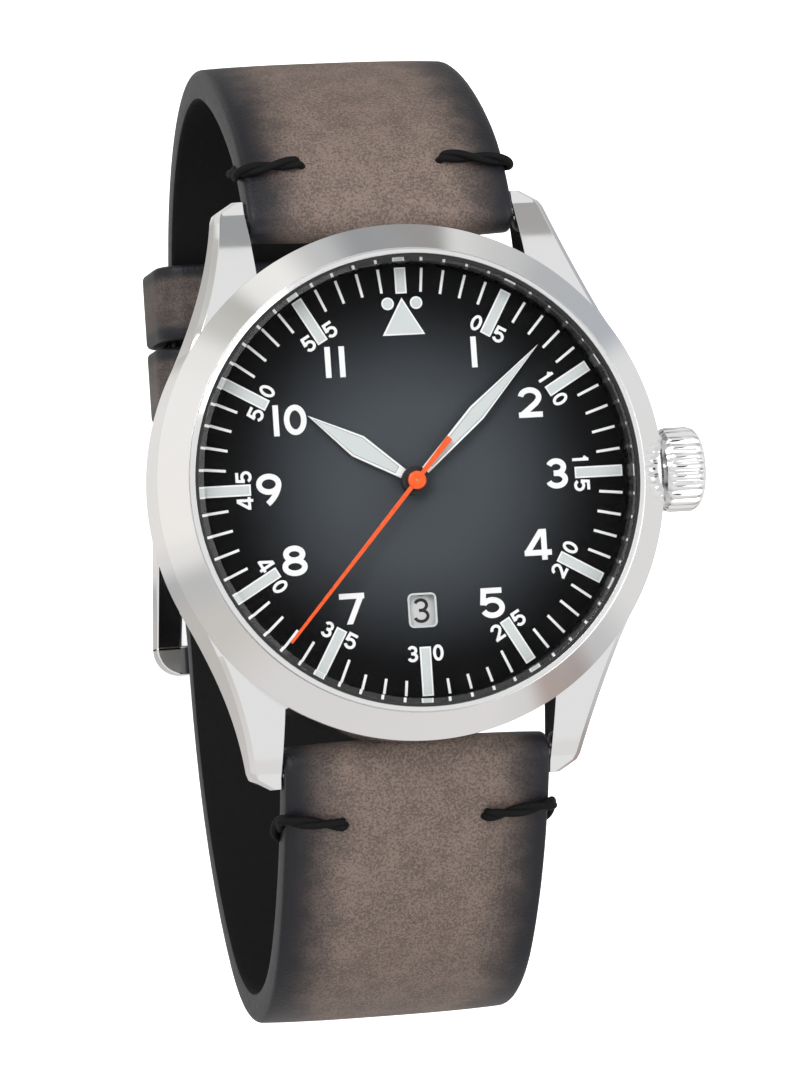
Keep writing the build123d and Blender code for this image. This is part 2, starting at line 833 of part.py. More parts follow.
lever_level = 1.0
lever_end = 1.3
lever_pocket = 1.4
lever_pin = 0.15
lever_pin_end = 2.27
lever_pivot_reach = 11.2
lever_pivot_side = 2.2
lever_pivot = (lever_pivot_reach, lever_pivot_side)
lever_pad = 0.5
lever_width = 0.5
lever_post = 0.2
with BuildPart() as setting_lever:
    plate(bar(lever_pivot, (lever_groove, 0), lever_width), lever_level, lever_end)
    disc(lever_pivot, lever_pad, lever_level, lever_end)
    disc((lever_groove, 0), lever_pin, lever_level, lever_pin_end)
    disc(lever_pivot, lever_post + turning_fit, lever_level, lever_end, Mode.SUBTRACT)
save(setting_lever.part, "setting_lever")

yoke_pivot_reach = 7.8
yoke_pivot_side = -2.9
yoke_pivot = (yoke_pivot_reach, yoke_pivot_side)
yoke_pin_end = 2.0
with BuildPart() as yoke:
    plate(bar(yoke_pivot, (sliding_groove, 0), lever_width), lever_level, lever_end)
    disc(yoke_pivot, lever_pad, lever_level, lever_end)
    disc((sliding_groove, 0), lever_pin, lever_level, yoke_pin_end)
    disc(yoke_pivot, lever_post + turning_fit, lever_level, lever_end, Mode.SUBTRACT)
save(yoke.part, "yoke")

# Crown wheel and ratchet wheel, let into the barrel bridge
crown_wheel_reach = 8.0
crown_wheel_at = (crown_wheel_reach, 0)
ratchet_teeth = 48
crown_wheel_teeth = 24
winding_distance = sqrt((crown_wheel_at[0] - barrel_at[0]) ** 2 + barrel_at[1] ** 2)
winding_module = 2 * winding_distance / (ratchet_teeth + crown_wheel_teeth)
winding_direction = degrees(acos((crown_wheel_at[0] - barrel_at[0]) / winding_distance))
recess_floor = 3.55
recess_end = 3.95
ratchet_level = 3.6
ratchet_end = 3.9
boss_radius = 0.6
with BuildPart() as ratchet_wheel:
    toothed(barrel_at, ratchet_teeth, winding_module, ratchet_level, ratchet_end, -winding_direction)
    disc(barrel_at, arbor_radius, ratchet_level, ratchet_end, Mode.SUBTRACT)
save(ratchet_wheel.part, "ratchet_wheel")

with BuildPart() as barrel_arbor:
    disc(barrel_at, arbor_radius, mainplate_top + sliding_fit, ratchet_end)
save(barrel_arbor.part, "barrel_arbor")

with BuildPart() as crown_wheel:
    gap = gap_towards(half_turn - winding_direction, crown_wheel_teeth)
    toothed(crown_wheel_at, crown_wheel_teeth, winding_module, ratchet_level, ratchet_end, gap)
    disc(crown_wheel_at, boss_radius + turning_fit, ratchet_level, ratchet_end, Mode.SUBTRACT)
save(crown_wheel.part, "crown_wheel")

# Plates and bridges
pocket_end = 3.3
plate_rim = 12.0
barrel_tip = (barrel_teeth / 2 + 1) * barrel_module
centre_pocket = (centre_teeth / 2 + 1) * centre_module + wheel_gap
fourth_pocket = (fourth_teeth / 2 + 1) * escape_module + wheel_gap
third_pocket = (third_teeth / 2 + 1) * third_module + wheel_gap
stem_pocket_start = 6.7
stem_pocket_end = 10.35
stem_pocket_half = 1.0
stem_pocket_depth = 1.5
screw_radius = 0.6
screw_height = 0.25
shank_radius = 0.3
shank_depth = 2.6
rim_screw_reach = 10.97
rim_screw_angle = 96.3
crown_screw_reach = 11.65
crown_screw_angle = 34.5
wing_screw_reach = 10.74
wing_screw_angle = 151.0
nose_screw_reach = 5.66
nose_screw_angle = -43.6
cock_screw_reach = 9.9
cock_screw_angle = -163.0
cock_screw = polar(cock_screw_reach, cock_screw_angle)
screws = (
    (polar(rim_screw_reach, rim_screw_angle), recess_end),
    (polar(crown_screw_reach, crown_screw_angle), recess_end),
    (polar(wing_screw_reach, wing_screw_angle), train_bridge_depth),
    (polar(nose_screw_reach, nose_screw_angle), train_bridge_depth),
    (cock_screw, cock_depth),
)

# Room in the mainplate for the setting lever and the yoke
yoke_pocket_start = 6.9
yoke_pocket_end = 8.9
yoke_pocket_low = -3.7
yoke_pocket_high = 0.5
yoke_slot_start = 7.25
yoke_slot_end = 8.4
lever_pocket_start = 10.0
lever_pocket_end = 12.3
lever_pocket_low = -0.5
lever_pocket_bend = 1.2
lever_pocket_high = 3.0
lever_pocket_draft = 0.2
lever_slot_start = 10.6
lever_slot_end = 12.0
pin_slot_half = 0.3


def screw_holes():
    """Holes for the shanks of the bridge screws."""
    for place, top in screws:
        disc(place, shank_radius, shank_depth, top, Mode.SUBTRACT)


with BuildPart() as mainplate:
    disc((0, 0), mainplate_radius, dial_thickness, pocket_end)
    disc((0, 0), plate_rim, dial_thickness, mainplate_top, Mode.SUBTRACT)
    disc(barrel_at, barrel_tip + wheel_gap, barrel_floor, pocket_end, Mode.SUBTRACT)
    disc((0, 0), max(centre_pocket, fourth_pocket), train_floor, pocket_end, Mode.SUBTRACT)
    disc(third_at, third_pocket, train_floor, pocket_end, Mode.SUBTRACT)
    disc(escape_at, escape_radius + wheel_gap, train_floor, pocket_end, Mode.SUBTRACT)
    disc(balance_at, balance_radius + wheel_gap, train_floor, pocket_end, Mode.SUBTRACT)
    disc((0, 0), centre_tube + turning_fit, mainplate_top, train_floor, Mode.SUBTRACT)
    disc(barrel_at, arbor_radius + turning_fit, mainplate_top, barrel_floor, Mode.SUBTRACT)
    block(
        (stem_pocket_start, -stem_pocket_half),
        (stem_pocket_end, stem_pocket_half),
        stem_pocket_depth, pocket_end, Mode.SUBTRACT,
    )
    along_stem(stem_bore, stem_start, bore_radius, Mode.SUBTRACT)
    yoke_low = (yoke_pocket_start, yoke_pocket_low)
    yoke_high = (yoke_pocket_end, yoke_pocket_high)
    block(yoke_low, yoke_high, mainplate_top, lever_pocket, Mode.SUBTRACT)
    lever_corners = (
        (lever_pocket_start, lever_pocket_low),
        (lever_pocket_end, lever_pocket_low),
        (lever_pocket_end, lever_pocket_bend),
        (lever_pocket_end - 2 * lever_pocket_draft, lever_pocket_high),
        (lever_pocket_start + lever_pocket_draft, lever_pocket_high),
    )
    plate(lever_corners, mainplate_top, lever_pocket, Mode.SUBTRACT)
    for start, end in ((yoke_slot_start, yoke_slot_end), (lever_slot_start, lever_slot_end)):
        block((start, -pin_slot_half), (end, pin_slot_half), lever_pocket, stem_depth, Mode.SUBTRACT)
    disc(lever_pivot, lever_post, lever_level, lever_pocket)
    disc(yoke_pivot, lever_post, lever_level, lever_pocket)
    disc(minute_at, post_radius - turning_fit, hour_wheel_level, mainplate_top)
    screw_holes()
save(mainplate.part, "mainplate")

bridge_radius = 12.4
ratchet_tip = (ratchet_teeth / 2 + 1) * winding_module
crown_wheel_tip = (crown_wheel_teeth / 2 + 1) * winding_module
bridge_border = 0.2
barrel_wing_start = 2.3
crown_wing_start = 5.2
crown_wing_low = 3.0
with BuildPart() as barrel_bridge:
    with BuildSketch(at_height(-recess_end)):
        with Locations(barrel_at):
            Circle(ratchet_tip + wheel_gap + bridge_border)
        with Locations((-barrel_wing_start, barrel_at[1])):
            wing_length = bridge_radius + barrel_wing_start
            Rectangle(wing_length, bridge_radius, align=(Align.MIN, Align.MIN))
        with Locations((crown_wing_start, -crown_wing_low)):
            Rectangle(bridge_radius, bridge_radius, align=(Align.MIN, Align.MIN))
        Circle(bridge_radius, mode=Mode.INTERSECT)
    extrude(amount=recess_end - bridge_depth)
    disc(barrel_at, ratchet_tip + wheel_gap, recess_floor, recess_end, Mode.SUBTRACT)
    disc(crown_wheel_at, crown_wheel_tip + wheel_gap, recess_floor, recess_end, Mode.SUBTRACT)
    disc(crown_wheel_at, boss_radius, recess_floor, recess_end)
    disc(barrel_at, arbor_radius + turning_fit, bridge_depth, recess_floor, Mode.SUBTRACT)
    block(
        (winding_start - sliding_fit, -winding_radius - sliding_fit),
        (winding_end + sliding_fit, winding_radius + sliding_fit),
        bridge_depth, recess_floor, Mode.SUBTRACT,
    )
    screw_holes()
save(barrel_bridge.part, "barrel_bridge")

jewel_radius = 0.38
jewel_thickness = 0.3
balance_view = 3.6
cock_foot = 2.0
cock_width = 2.6
train_width = 8.4
nose_length = 5.0
nose_width = 4.8
wing_length = 8.0
wing_width = 9.0
with BuildPart() as train_bridge:
    with BuildSketch(at_height(-train_bridge_depth)):
        Rectangle(bridge_radius, train_width, align=(Align.MAX, Align.CENTER))
        Rectangle(nose_length, nose_width, align=(Align.MIN, Align.MAX))
        with Locations((-bridge_radius, 0)):
            Rectangle(wing_length, wing_width, align=(Align.MIN, Align.MIN))
        with Locations((0, 0)):
            Circle(boss_radius + bridge_border)
        Circle(bridge_radius, mode=Mode.INTERSECT)
        with Locations(barrel_at):
            Circle(ratchet_tip + wheel_gap + 2 * bridge_border, mode=Mode.SUBTRACT)
        with Locations(balance_at):
            Circle(balance_view, mode=Mode.SUBTRACT)
        with Locations(cock_screw):
            Circle(cock_foot + bridge_border, mode=Mode.SUBTRACT)
        cock_room = bar(cock_screw, balance_at, cock_width + 2 * bridge_border)
        Polygon(*cock_room, align=None, mode=Mode.SUBTRACT)
    extrude(amount=train_bridge_depth - bridge_depth)
    for place in ((0, 0), third_at, escape_at):
        disc(place, jewel_radius, train_bridge_depth - jewel_thickness, train_bridge_depth, Mode.SUBTRACT)
        disc(place, pivot_hole, bridge_depth, train_bridge_depth, Mode.SUBTRACT)
    screw_holes()
save(train_bridge.part, "train_bridge")

cock_arm_depth = 3.7
with BuildPart() as balance_cock:
    plate(bar(cock_screw, balance_at, cock_width), cock_arm_depth, cock_depth)
    disc(balance_at, cock_width / 2, cock_arm_depth, cock_depth)
    disc(cock_screw, cock_foot, bridge_depth, cock_depth)
    disc(balance_at, jewel_radius, cock_depth - jewel_thickness, cock_depth, Mode.SUBTRACT)
    disc(balance_at, pivot_hole, bridge_depth, cock_depth, Mode.SUBTRACT)
    screw_holes()
save(balance_cock.part, "balance_cock")

with BuildPart() as bearing_jewels:
    for place in ((0, 0), third_at, escape_at):
        ring(place, jewel_radius, pivot_hole, train_bridge_depth - jewel_thickness, train_bridge_depth)
    ring(balance_at, jewel_radius, pivot_hole, cock_depth - jewel_thickness, cock_depth)
save(bearing_jewels.part, "bearing_jewels")

with BuildPart() as bridge_screws:
    for place, top in screws:
        disc(place, screw_radius, top, top + screw_height)
        disc(place, shank_radius, shank_depth, top)
save(bridge_screws.part, "bridge_screws")

pallet_bridge_half = 1.9
pallet_bridge_width = 0.8
with BuildPart() as pallet_bridge:
    left = beside(fork_at, pallet_bridge_half, balance_direction + quarter_turn)
    right = beside(fork_at, pallet_bridge_half, balance_direction - quarter_turn)
    bridge_start = escape_level + wheel_thickness + sliding_fit
    plate(bar(left, right, pallet_bridge_width), bridge_start, rim_level - pinion_relief)
    for foot in (left, right):
        disc(foot, pallet_bridge_width / 2, train_floor, bridge_start)
    disc(fork_at, pivot_hole, train_floor, rim_level, Mode.SUBTRACT)
save(pallet_bridge.part, "pallet_bridge")

# Self-winding
rotor_level = 4.75
rotor_plate_end = 5.1
rotor_end = 6.1
rotor_radius = 12.5
weight_inner = 9.2
rotor_hub = 2.0
bearing_radius = 0.75
rotor_pinion_teeth = 24
reversing_teeth = 36
rotor_module = 0.1
reversing_angle = -30.0
reversing_distance = (rotor_pinion_teeth + reversing_teeth) * rotor_module / 2
reversing_at = polar(reversing_distance, reversing_angle)
reversing_level = 4.35
reversing_end = 4.65
with BuildPart() as rotor_bearing:
    disc((0, 0), bearing_radius, train_bridge_depth, rotor_end)
save(rotor_bearing.part, "rotor_bearing")

spoke_half = 1.0
spoke_count = 3
window_start = 3.4
window_end = 8.2
with BuildPart() as rotor:
    with BuildSketch(at_height(-rotor_plate_end)):
        Circle(rotor_radius)
        Rectangle(2 * rotor_radius, rotor_radius, align=(Align.CENTER, Align.MAX), mode=Mode.INTERSECT)
        with BuildSketch(mode=Mode.SUBTRACT):
            Circle(window_end)
            Circle(window_start, mode=Mode.SUBTRACT)
            for spoke in range(spoke_count):
                turn = -spoke * half_turn / spoke_count
                Rectangle(2 * window_end, 2 * spoke_half, rotation=turn, mode=Mode.SUBTRACT)
            Rectangle(2 * window_end, window_end, align=(Align.CENTER, Align.MAX), mode=Mode.INTERSECT)
        Circle(rotor_hub)
    extrude(amount=rotor_plate_end - rotor_level)
    with BuildSketch(at_height(-rotor_end)):
        Circle(rotor_radius)
        Circle(weight_inner, mode=Mode.SUBTRACT)
        Rectangle(2 * rotor_radius, rotor_radius, align=(Align.CENTER, Align.MAX), mode=Mode.INTERSECT)
    extrude(amount=rotor_end - rotor_plate_end)
    toothed((0, 0), rotor_pinion_teeth, rotor_module, reversing_level, rotor_level, reversing_angle)
    disc((0, 0), bearing_radius + turning_fit, reversing_level, rotor_plate_end, Mode.SUBTRACT)
save(rotor.part, "rotor")

with BuildPart() as reversing_wheel:
    gap = gap_towards(reversing_angle + half_turn, reversing_teeth)
    toothed(reversing_at, reversing_teeth, rotor_module, reversing_level, reversing_end, gap)
save(reversing_wheel.part, "reversing_wheel")

# Strap
thickness = leather + lining
strap_bar_radius = 0.8
bar_shoulder = 0.3
strap_12_heading = -20.0
shoulder_12_radius = 17.0
shoulder_12_turn = 30.8
side_12_radius = 37.2
side_12_turn = 22.5
foot_12_radius = 21.4
foot_12_turn = 106.7
strap_12_bends = (
    (shoulder_12_radius, shoulder_12_turn),
    (side_12_radius, side_12_turn),
    (foot_12_radius, foot_12_turn),
)
strap_6_heading = -20.4
shoulder_6_radius = 40.1
shoulder_6_turn = 26.3
side_6_radius = 18.6
side_6_turn = 84.1
foot_6_radius = 35.8
foot_6_turn = 49.2
strap_6_bends = (
    (shoulder_6_radius, shoulder_6_turn),
    (side_6_radius, side_6_turn),
    (foot_6_radius, foot_6_turn),
)
climb_run = 7.0
strap_case_gap = 0.15
hide_length = 60.0
front_side = Plane.YZ
rear_side = Plane(origin=(0, 0, 0), x_dir=(0, -1, 0), z_dir=(-1, 0, 0))


def bend_path(start, heading, bends):
    """Centres, radii and angles of the bends, and the place where they end."""
    arcs = []
    place = start
    angle = heading
    for radius, turn in bends:
        side = 1 if turn > 0 else -1
        centre = beside(place, radius * side, angle - quarter_turn)
        first = angle + side * quarter_turn
        arcs.append((centre, radius, side, first, -turn))
        angle -= turn
        place = beside(centre, radius, angle + side * quarter_turn)
    return arcs, place


def strap_face(plane, arcs, end, near, far):
    """Side view of one layer of the strap, from its bends to its end."""
    with BuildSketch(plane) as face:
        with BuildLine():
            first = arcs[0]
            last = arcs[-1]
            for centre, radius, side, start, turn in arcs:
                CenterArc(centre, radius - side * near, start, turn)
                CenterArc(centre, radius - side * far, start, turn)
            outer_start = beside(first[0], first[1] - near, first[3])
            inner_start = beside(first[0], first[1] - far, first[3])
            Line(outer_start, inner_start)
            last_angle = last[3] + last[4]
            outer_end = beside(last[0], last[1] - last[2] * near, last_angle)
            inner_end = beside(last[0], last[1] - last[2] * far, last_angle)
            Line(outer_end, (end, outer_end[1]))
            Line((end, outer_end[1]), (end, inner_end[1]))
            Line((end, inner_end[1]), inner_end)
        make_face()
    return face.sketch


bar_at = (strap_bar_reach, dial_height - strap_bar_depth)


def strap_half(z):
    """Half the width of the strap at a height."""
    change = (strap_half_width - strap_end_half_width) / (hide_length - 2 * strap_eye)
    return strap_half_width + change * (z - bar_at[1])


def strap_taper():
    """Keep the strap inside its tapering width."""
    reach = 2 * strap_bar_reach
    high = bar_at[1] + strap_eye
    low = bar_at[1] - hide_length
    wide = strap_half(high)
    narrow = strap_half(low)
    with BuildSketch(Plane.XZ.offset(-2 * reach)) as front:
        Polygon((-wide, high), (wide, high), (narrow, low), (-narrow, low), align=None)
    extrude(front.sketch, amount=4 * reach, mode=Mode.INTERSECT)


start_12 = beside(bar_at, strap_eye, quarter_turn + strap_12_heading)
arcs_12, back_12 = bend_path(start_12, strap_12_heading, strap_12_bends)
start_6 = beside(bar_at, strap_eye, quarter_turn + strap_6_heading)
level_arcs_6, level_6 = bend_path(start_6, strap_6_heading, strap_6_bends)
climb_drop = level_6[1] - back_12[1] + thickness
climb_angle = 2 * degrees(atan(climb_drop / climb_run))
climb_radius = climb_run / 2 / sin(radians(climb_angle))
climb = ((climb_radius, -climb_angle), (climb_radius, climb_angle))
arcs_6, back_6 = bend_path(start_6, strap_6_heading, strap_6_bends + climb)

pin_radius_buckle = 0.75
pin_at_buckle = (buckle_pin_reach, back_12[1] + thickness / 2)
slot_half = 1.4
slot_before = 4.6
slot_behind = 1.8
slot_start = buckle_pin_reach - slot_before
slot_end = buckle_pin_reach + slot_behind
keeper_setback = 0.2
fixed_length = 6.2
keeper_spacing = 0.4
free_length = 6.5
fixed_end = back_12[0] - keeper_setback
fixed_start = fixed_end - fixed_length
free_start = fixed_end + keeper_spacing
free_end = free_start + free_length
tip_reach = free_end + tip_beyond_keeper


def across(plane, point, radius, width, mode=Mode.ADD):
    """Disc across the strap at a point of its side view."""
    with BuildSketch(plane.offset(-width / 2)) as face:
        with Locations(point):
            Circle(radius)
    extrude(face.sketch, amount=width, mode=mode)


def tongue_slot():
    """Slot through the strap for the buckle's tongue."""
    middle = (slot_start + slot_end) / 2
    with Locations((0, middle, pin_at_buckle[1])):
        Box(2 * slot_half, slot_end - slot_start, 4 * thickness, mode=Mode.SUBTRACT)


def round_tip():
    """Round the corners at the tip of the long half."""
    middle_x = strap_half(back_6[1]) - tip_corner
    for side, outwards in ((1, Align.MIN), (-1, Align.MAX)):
        with BuildSketch(Plane.XY.offset(back_6[1] - thickness)) as corner:
            with Locations((side * middle_x, tip_reach - tip_corner)):
                Rectangle(2 * tip_corner, 2 * tip_corner, align=(outwards, Align.MIN))
                Circle(tip_corner, mode=Mode.SUBTRACT)
        extrude(corner.sketch, amount=3 * thickness, mode=Mode.SUBTRACT)


with BuildPart() as strap_12_leather:
    extrude(strap_face(front_side, arcs_12, buckle_pin_reach, 0, leather), amount=lug_gap / 2, both=True)
    across(front_side, bar_at, strap_eye, lug_gap)
    across(front_side, pin_at_buckle, thickness / 2, lug_gap)
    strap_taper()
    across(front_side, bar_at, strap_bar_radius, lug_gap, Mode.SUBTRACT)
    across(front_side, pin_at_buckle, pin_radius_buckle, lug_gap, Mode.SUBTRACT)
    disc((0, 0), case_radius + strap_case_gap, 0, dial_height, Mode.SUBTRACT)
    tongue_slot()
save(strap_12_leather.part, "strap_12_leather")

with BuildPart() as strap_12_lining:
    lining_face = strap_face(front_side, arcs_12, buckle_pin_reach + thickness, leather, thickness)
    extrude(lining_face, amount=lug_gap / 2, both=True)
    strap_taper()
    across(front_side, bar_at, strap_eye, lug_gap, Mode.SUBTRACT)
save(strap_12_lining.part, "strap_12_lining")

with BuildPart() as strap_6_leather:
    extrude(strap_face(rear_side, arcs_6, -tip_reach, 0, leather), amount=lug_gap / 2, both=True)
    across(rear_side, bar_at, strap_eye, lug_gap)
    strap_taper()
    across(rear_side, bar_at, strap_bar_radius, lug_gap, Mode.SUBTRACT)
    disc((0, 0), case_radius + strap_case_gap, 0, dial_height, Mode.SUBTRACT)
    tongue_slot()
    round_tip()
save(strap_6_leather.part, "strap_6_leather")

with BuildPart() as strap_6_lining:
    extrude(strap_face(rear_side, arcs_6, -tip_reach, leather, thickness), amount=lug_gap / 2, both=True)
    strap_taper()
    across(rear_side, bar_at, strap_eye, lug_gap, Mode.SUBTRACT)
    tongue_slot()
    round_tip()
save(strap_6_lining.part, "strap_6_lining")

with BuildPart() as spring_bars:
    bar_places = [(0, side * strap_bar_reach, dial_height - strap_bar_depth) for side in (1, -1)]
    with Locations(*bar_places):
        Cylinder(strap_bar_radius, lug_gap - 2 * bar_shoulder, rotation=(0, quarter_turn, 0))
        Cylinder(lug_bar_hole, lug_gap + 2 * lug_bar_depth, rotation=(0, quarter_turn, 0))
save(spring_bars.part, "spring_bars")

# Keepers and buckle
keeper_wall = 1.4
keeper_half = 10.5
floor_z = back_12[1] - thickness - keeper_fit - keeper_wall
fixed_top = thickness + keeper_fit
free_room = 1.9
free_top = thickness + free_room


def keeper(start, end, room):
    """Leather loop round both ends of the strap."""
    low = back_12[1] - thickness - keeper_fit
    high = back_12[1] + room
    with BuildSketch(Plane.XZ.offset(-end)) as loop:
        with Locations((0, (low + high) / 2)):
            height = high - low
            RectangleRounded(2 * (keeper_half + keeper_wall), height + 2 * keeper_wall, keeper_wall)
            Rectangle(2 * keeper_half, height, mode=Mode.SUBTRACT)
    extrude(loop.sketch, amount=end - start)


with BuildPart() as fixed_keeper:
    keeper(fixed_start, fixed_end, fixed_top)
save(fixed_keeper.part, "fixed_keeper")

with BuildPart() as free_keeper:
    keeper(free_start, free_end, free_top)
save(free_keeper.part, "free_keeper")

bar_clearance = 0.35
frame_fit = 0.27
frame_rail = 2.3
frame_inner = strap_half(back_12[1]) + frame_fit
frame_outer = frame_inner + frame_rail
bar_overhang = 1.3
bar_depth = 2.6
bar_far = -level_6[0] - bar_overhang
bar_near = bar_far + bar_depth
bar_top = level_6[1] - bar_clearance
rail_eye = 1.6
tongue_half = 1.1
tongue_fit = 0.15
tongue_thickness = 1.2
tongue_near = back_6[1] - sliding_fit
tongue_far = floor_z + sliding_fit
with BuildPart() as buckle_bar:
    across(front_side, pin_at_buckle, pin_radius_buckle, 2 * frame_outer)
save(buckle_bar.part, "buckle_bar")

with BuildPart() as buckle_frame:
    rail = (
        (pin_at_buckle[0], pin_at_buckle[1] + rail_eye),
        (bar_near, bar_top),
        (bar_far, bar_top - rail_eye / 2),
        (bar_far, floor_z),
        (bar_near, floor_z),
        (pin_at_buckle[0], pin_at_buckle[1] - rail_eye),
    )
    with BuildSketch(Plane.YZ.offset(-frame_outer)):
        Polygon(*rail, align=None)
        with Locations(pin_at_buckle):
            Circle(rail_eye)
    extrude(amount=2 * frame_outer)
    with Locations((0, bar_near, pin_at_buckle[1])):
        strap_room = 6 * thickness
        inwards = (Align.CENTER, Align.MIN, Align.CENTER)
        Box(2 * frame_inner, strap_room, strap_room, align=inwards, mode=Mode.SUBTRACT)
    with Locations((0, bar_near, bar_top)):
        Box(2 * frame_inner, 2 * thickness, 2 * thickness, align=up, mode=Mode.SUBTRACT)
    across(front_side, pin_at_buckle, pin_radius_buckle + turning_fit, 2 * frame_outer, Mode.SUBTRACT)
    with Locations((0, (bar_near + bar_far) / 2, floor_z)):
        notch_height = 2 * (tongue_near - floor_z + turning_fit)
        Box(2 * (tongue_half + tongue_fit), 2 * thickness, notch_height, mode=Mode.SUBTRACT)
save(buckle_frame.part, "buckle_frame")

tongue_eye = 1.35
with BuildPart() as buckle_tongue:
    profile = (
        (pin_at_buckle[0] + tongue_eye, pin_at_buckle[1]),
        (pin_at_buckle[0] - tongue_eye / 2, pin_at_buckle[1] - tongue_eye),
        (slot_start + tongue_thickness, tongue_far),
        (bar_far + sliding_fit, tongue_far),
        (bar_far + sliding_fit, tongue_near),
        (slot_start + tongue_fit, tongue_near),
        (pin_at_buckle[0] - tongue_eye, pin_at_buckle[1]),
    )
    with BuildSketch(Plane.YZ.offset(-tongue_half)):
        Polygon(*profile, align=None)
        with Locations(pin_at_buckle):
            Circle(tongue_eye)
    extrude(amount=2 * tongue_half)
    across(front_side, pin_at_buckle, pin_radius_buckle + turning_fit, 2 * frame_outer, Mode.SUBTRACT)
save(buckle_tongue.part, "buckle_tongue")
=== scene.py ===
"""Looks of a pilot watch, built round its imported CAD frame, with lengths in metres."""

import json
import logging
from collections.abc import Sequence
from dataclasses import dataclass, field
from enum import Enum
from math import atan, cos, degrees, hypot, inf, pi, radians, sin

import bmesh
import bpy
from mathutils import Matrix, Vector

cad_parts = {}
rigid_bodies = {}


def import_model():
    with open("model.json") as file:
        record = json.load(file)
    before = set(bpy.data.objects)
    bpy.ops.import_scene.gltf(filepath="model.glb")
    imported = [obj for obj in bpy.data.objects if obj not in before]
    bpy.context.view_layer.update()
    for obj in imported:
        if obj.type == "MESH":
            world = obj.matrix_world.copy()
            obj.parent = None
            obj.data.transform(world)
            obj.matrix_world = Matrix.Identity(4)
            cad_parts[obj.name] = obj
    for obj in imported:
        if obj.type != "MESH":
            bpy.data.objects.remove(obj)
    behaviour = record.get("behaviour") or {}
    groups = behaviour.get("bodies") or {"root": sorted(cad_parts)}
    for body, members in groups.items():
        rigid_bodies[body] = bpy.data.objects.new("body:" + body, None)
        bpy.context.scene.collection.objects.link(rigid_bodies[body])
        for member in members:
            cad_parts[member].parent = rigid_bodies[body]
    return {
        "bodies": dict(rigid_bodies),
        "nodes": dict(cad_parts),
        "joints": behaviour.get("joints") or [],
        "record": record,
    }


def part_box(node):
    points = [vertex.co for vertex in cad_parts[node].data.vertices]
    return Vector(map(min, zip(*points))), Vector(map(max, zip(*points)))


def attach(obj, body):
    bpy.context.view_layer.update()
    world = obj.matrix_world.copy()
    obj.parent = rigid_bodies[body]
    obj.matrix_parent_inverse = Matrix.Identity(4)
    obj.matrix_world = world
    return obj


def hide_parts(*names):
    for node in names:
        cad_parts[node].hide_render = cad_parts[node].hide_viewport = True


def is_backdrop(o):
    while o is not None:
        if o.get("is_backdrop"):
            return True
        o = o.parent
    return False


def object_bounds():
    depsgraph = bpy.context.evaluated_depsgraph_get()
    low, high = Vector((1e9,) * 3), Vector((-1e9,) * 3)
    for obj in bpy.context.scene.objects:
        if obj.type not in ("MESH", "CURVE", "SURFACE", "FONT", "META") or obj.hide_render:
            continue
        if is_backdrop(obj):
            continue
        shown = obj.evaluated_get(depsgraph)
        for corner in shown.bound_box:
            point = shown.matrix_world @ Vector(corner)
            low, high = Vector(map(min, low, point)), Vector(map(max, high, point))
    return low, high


LOG = logging.getLogger("pilot_watch")
MM = 0.001
FULL_TURN = 2 * pi
ROUND_STEPS = 192
SMOOTH_ANGLE = 32.0
BEVEL_ANGLE = 28.0
SAME_PLACE = 1e-7
NO_LENGTH = 1e-8
Point = tuple[float, float]
Place = tuple[float, float, float]
Row = tuple[Point, float, float]
Grid = list[list[int]]
Colour = tuple[float, float, float]
Shade = tuple[float, float, float, float]
Piece = bpy.types.Object
Node = bpy.types.Node
Socket = bpy.types.NodeSocket
Value = Socket | float


class Tree:
    """Adds and joins the nodes of one shader or geometry tree."""

    def __init__(self, tree: bpy.types.NodeTree) -> None:
        """Keep the tree that nodes are added to."""
        self.tree = tree

    def node(self, kind: str, inputs: dict[str | int, object] | None = None, **settings: object) -> Node:
        """Add a node.

        Args:
            kind: Blender's name for the node type.
            inputs: values or source sockets, by input name or number.
            **settings: properties of the node itself.

        Returns:
            The new node.
        """
        made = self.tree.nodes.new(kind)
        for name, value in settings.items():
            setattr(made, name, value)
        for key, value in (inputs or {}).items():
            if isinstance(value, Socket):
                self.link(value, made.inputs[key])
            else:
                made.inputs[key].default_value = value
        return made

    def out(self, kind: str, inputs: dict[str | int, object] | None = None, **settings: object) -> Socket:
        """Add a node and return its first output."""
        return self.node(kind, inputs, **settings).outputs[0]

    def link(self, source: Socket, target: Socket) -> None:
        """Lead an output to an input."""
        self.tree.links.new(source, target)

    def math(self, operation: str, first: Value, second: Value = 0.0, third: Value = 0.0) -> Socket:
        """Add a Math node and return its result."""
        inputs = {0: first, 1: second, 2: third}
        return self.out("ShaderNodeMath", inputs, operation=operation)

    def mix(self, share: Value, low: Socket | Shade, high: Socket | Shade) -> Socket:
        """Blend two colours by a share and return the result."""
        inputs = {0: share, 6: low, 7: high}
        return self.node("ShaderNodeMix", inputs, data_type="RGBA").outputs[2]

    def spread(self, value: Value, low: float, high: float, new_low: float, new_high: float) -> Socket:
        """Map a value from one range to another, with soft ends."""
        inputs = {0: value, 1: low, 2: high, 3: new_low, 4: new_high}
        return self.out("ShaderNodeMapRange", inputs, interpolation_type="SMOOTHSTEP")

    def noise(self, place: Socket, scale: Value, detail: float) -> Socket:
        """Add a Noise Texture and return its value."""
        inputs = {"Vector": place, "Scale": scale, "Detail": detail}
        return self.out("ShaderNodeTexNoise", inputs)

    def radius(self, parts: Sequence[Socket]) -> Socket:
        """Distance from the Z axis, from the parts of a place."""
        squares = self.math("MULTIPLY_ADD", parts[0], parts[0], self.math("MULTIPLY", parts[1], parts[1]))
        return self.math("SQRT", squares)

    def combine(self, x: Value = 0.0, y: Value = 0.0, z: Value = 0.0) -> Socket:
        """Join three values to a vector."""
        return self.out("ShaderNodeCombineXYZ", {0: x, 1: y, 2: z})


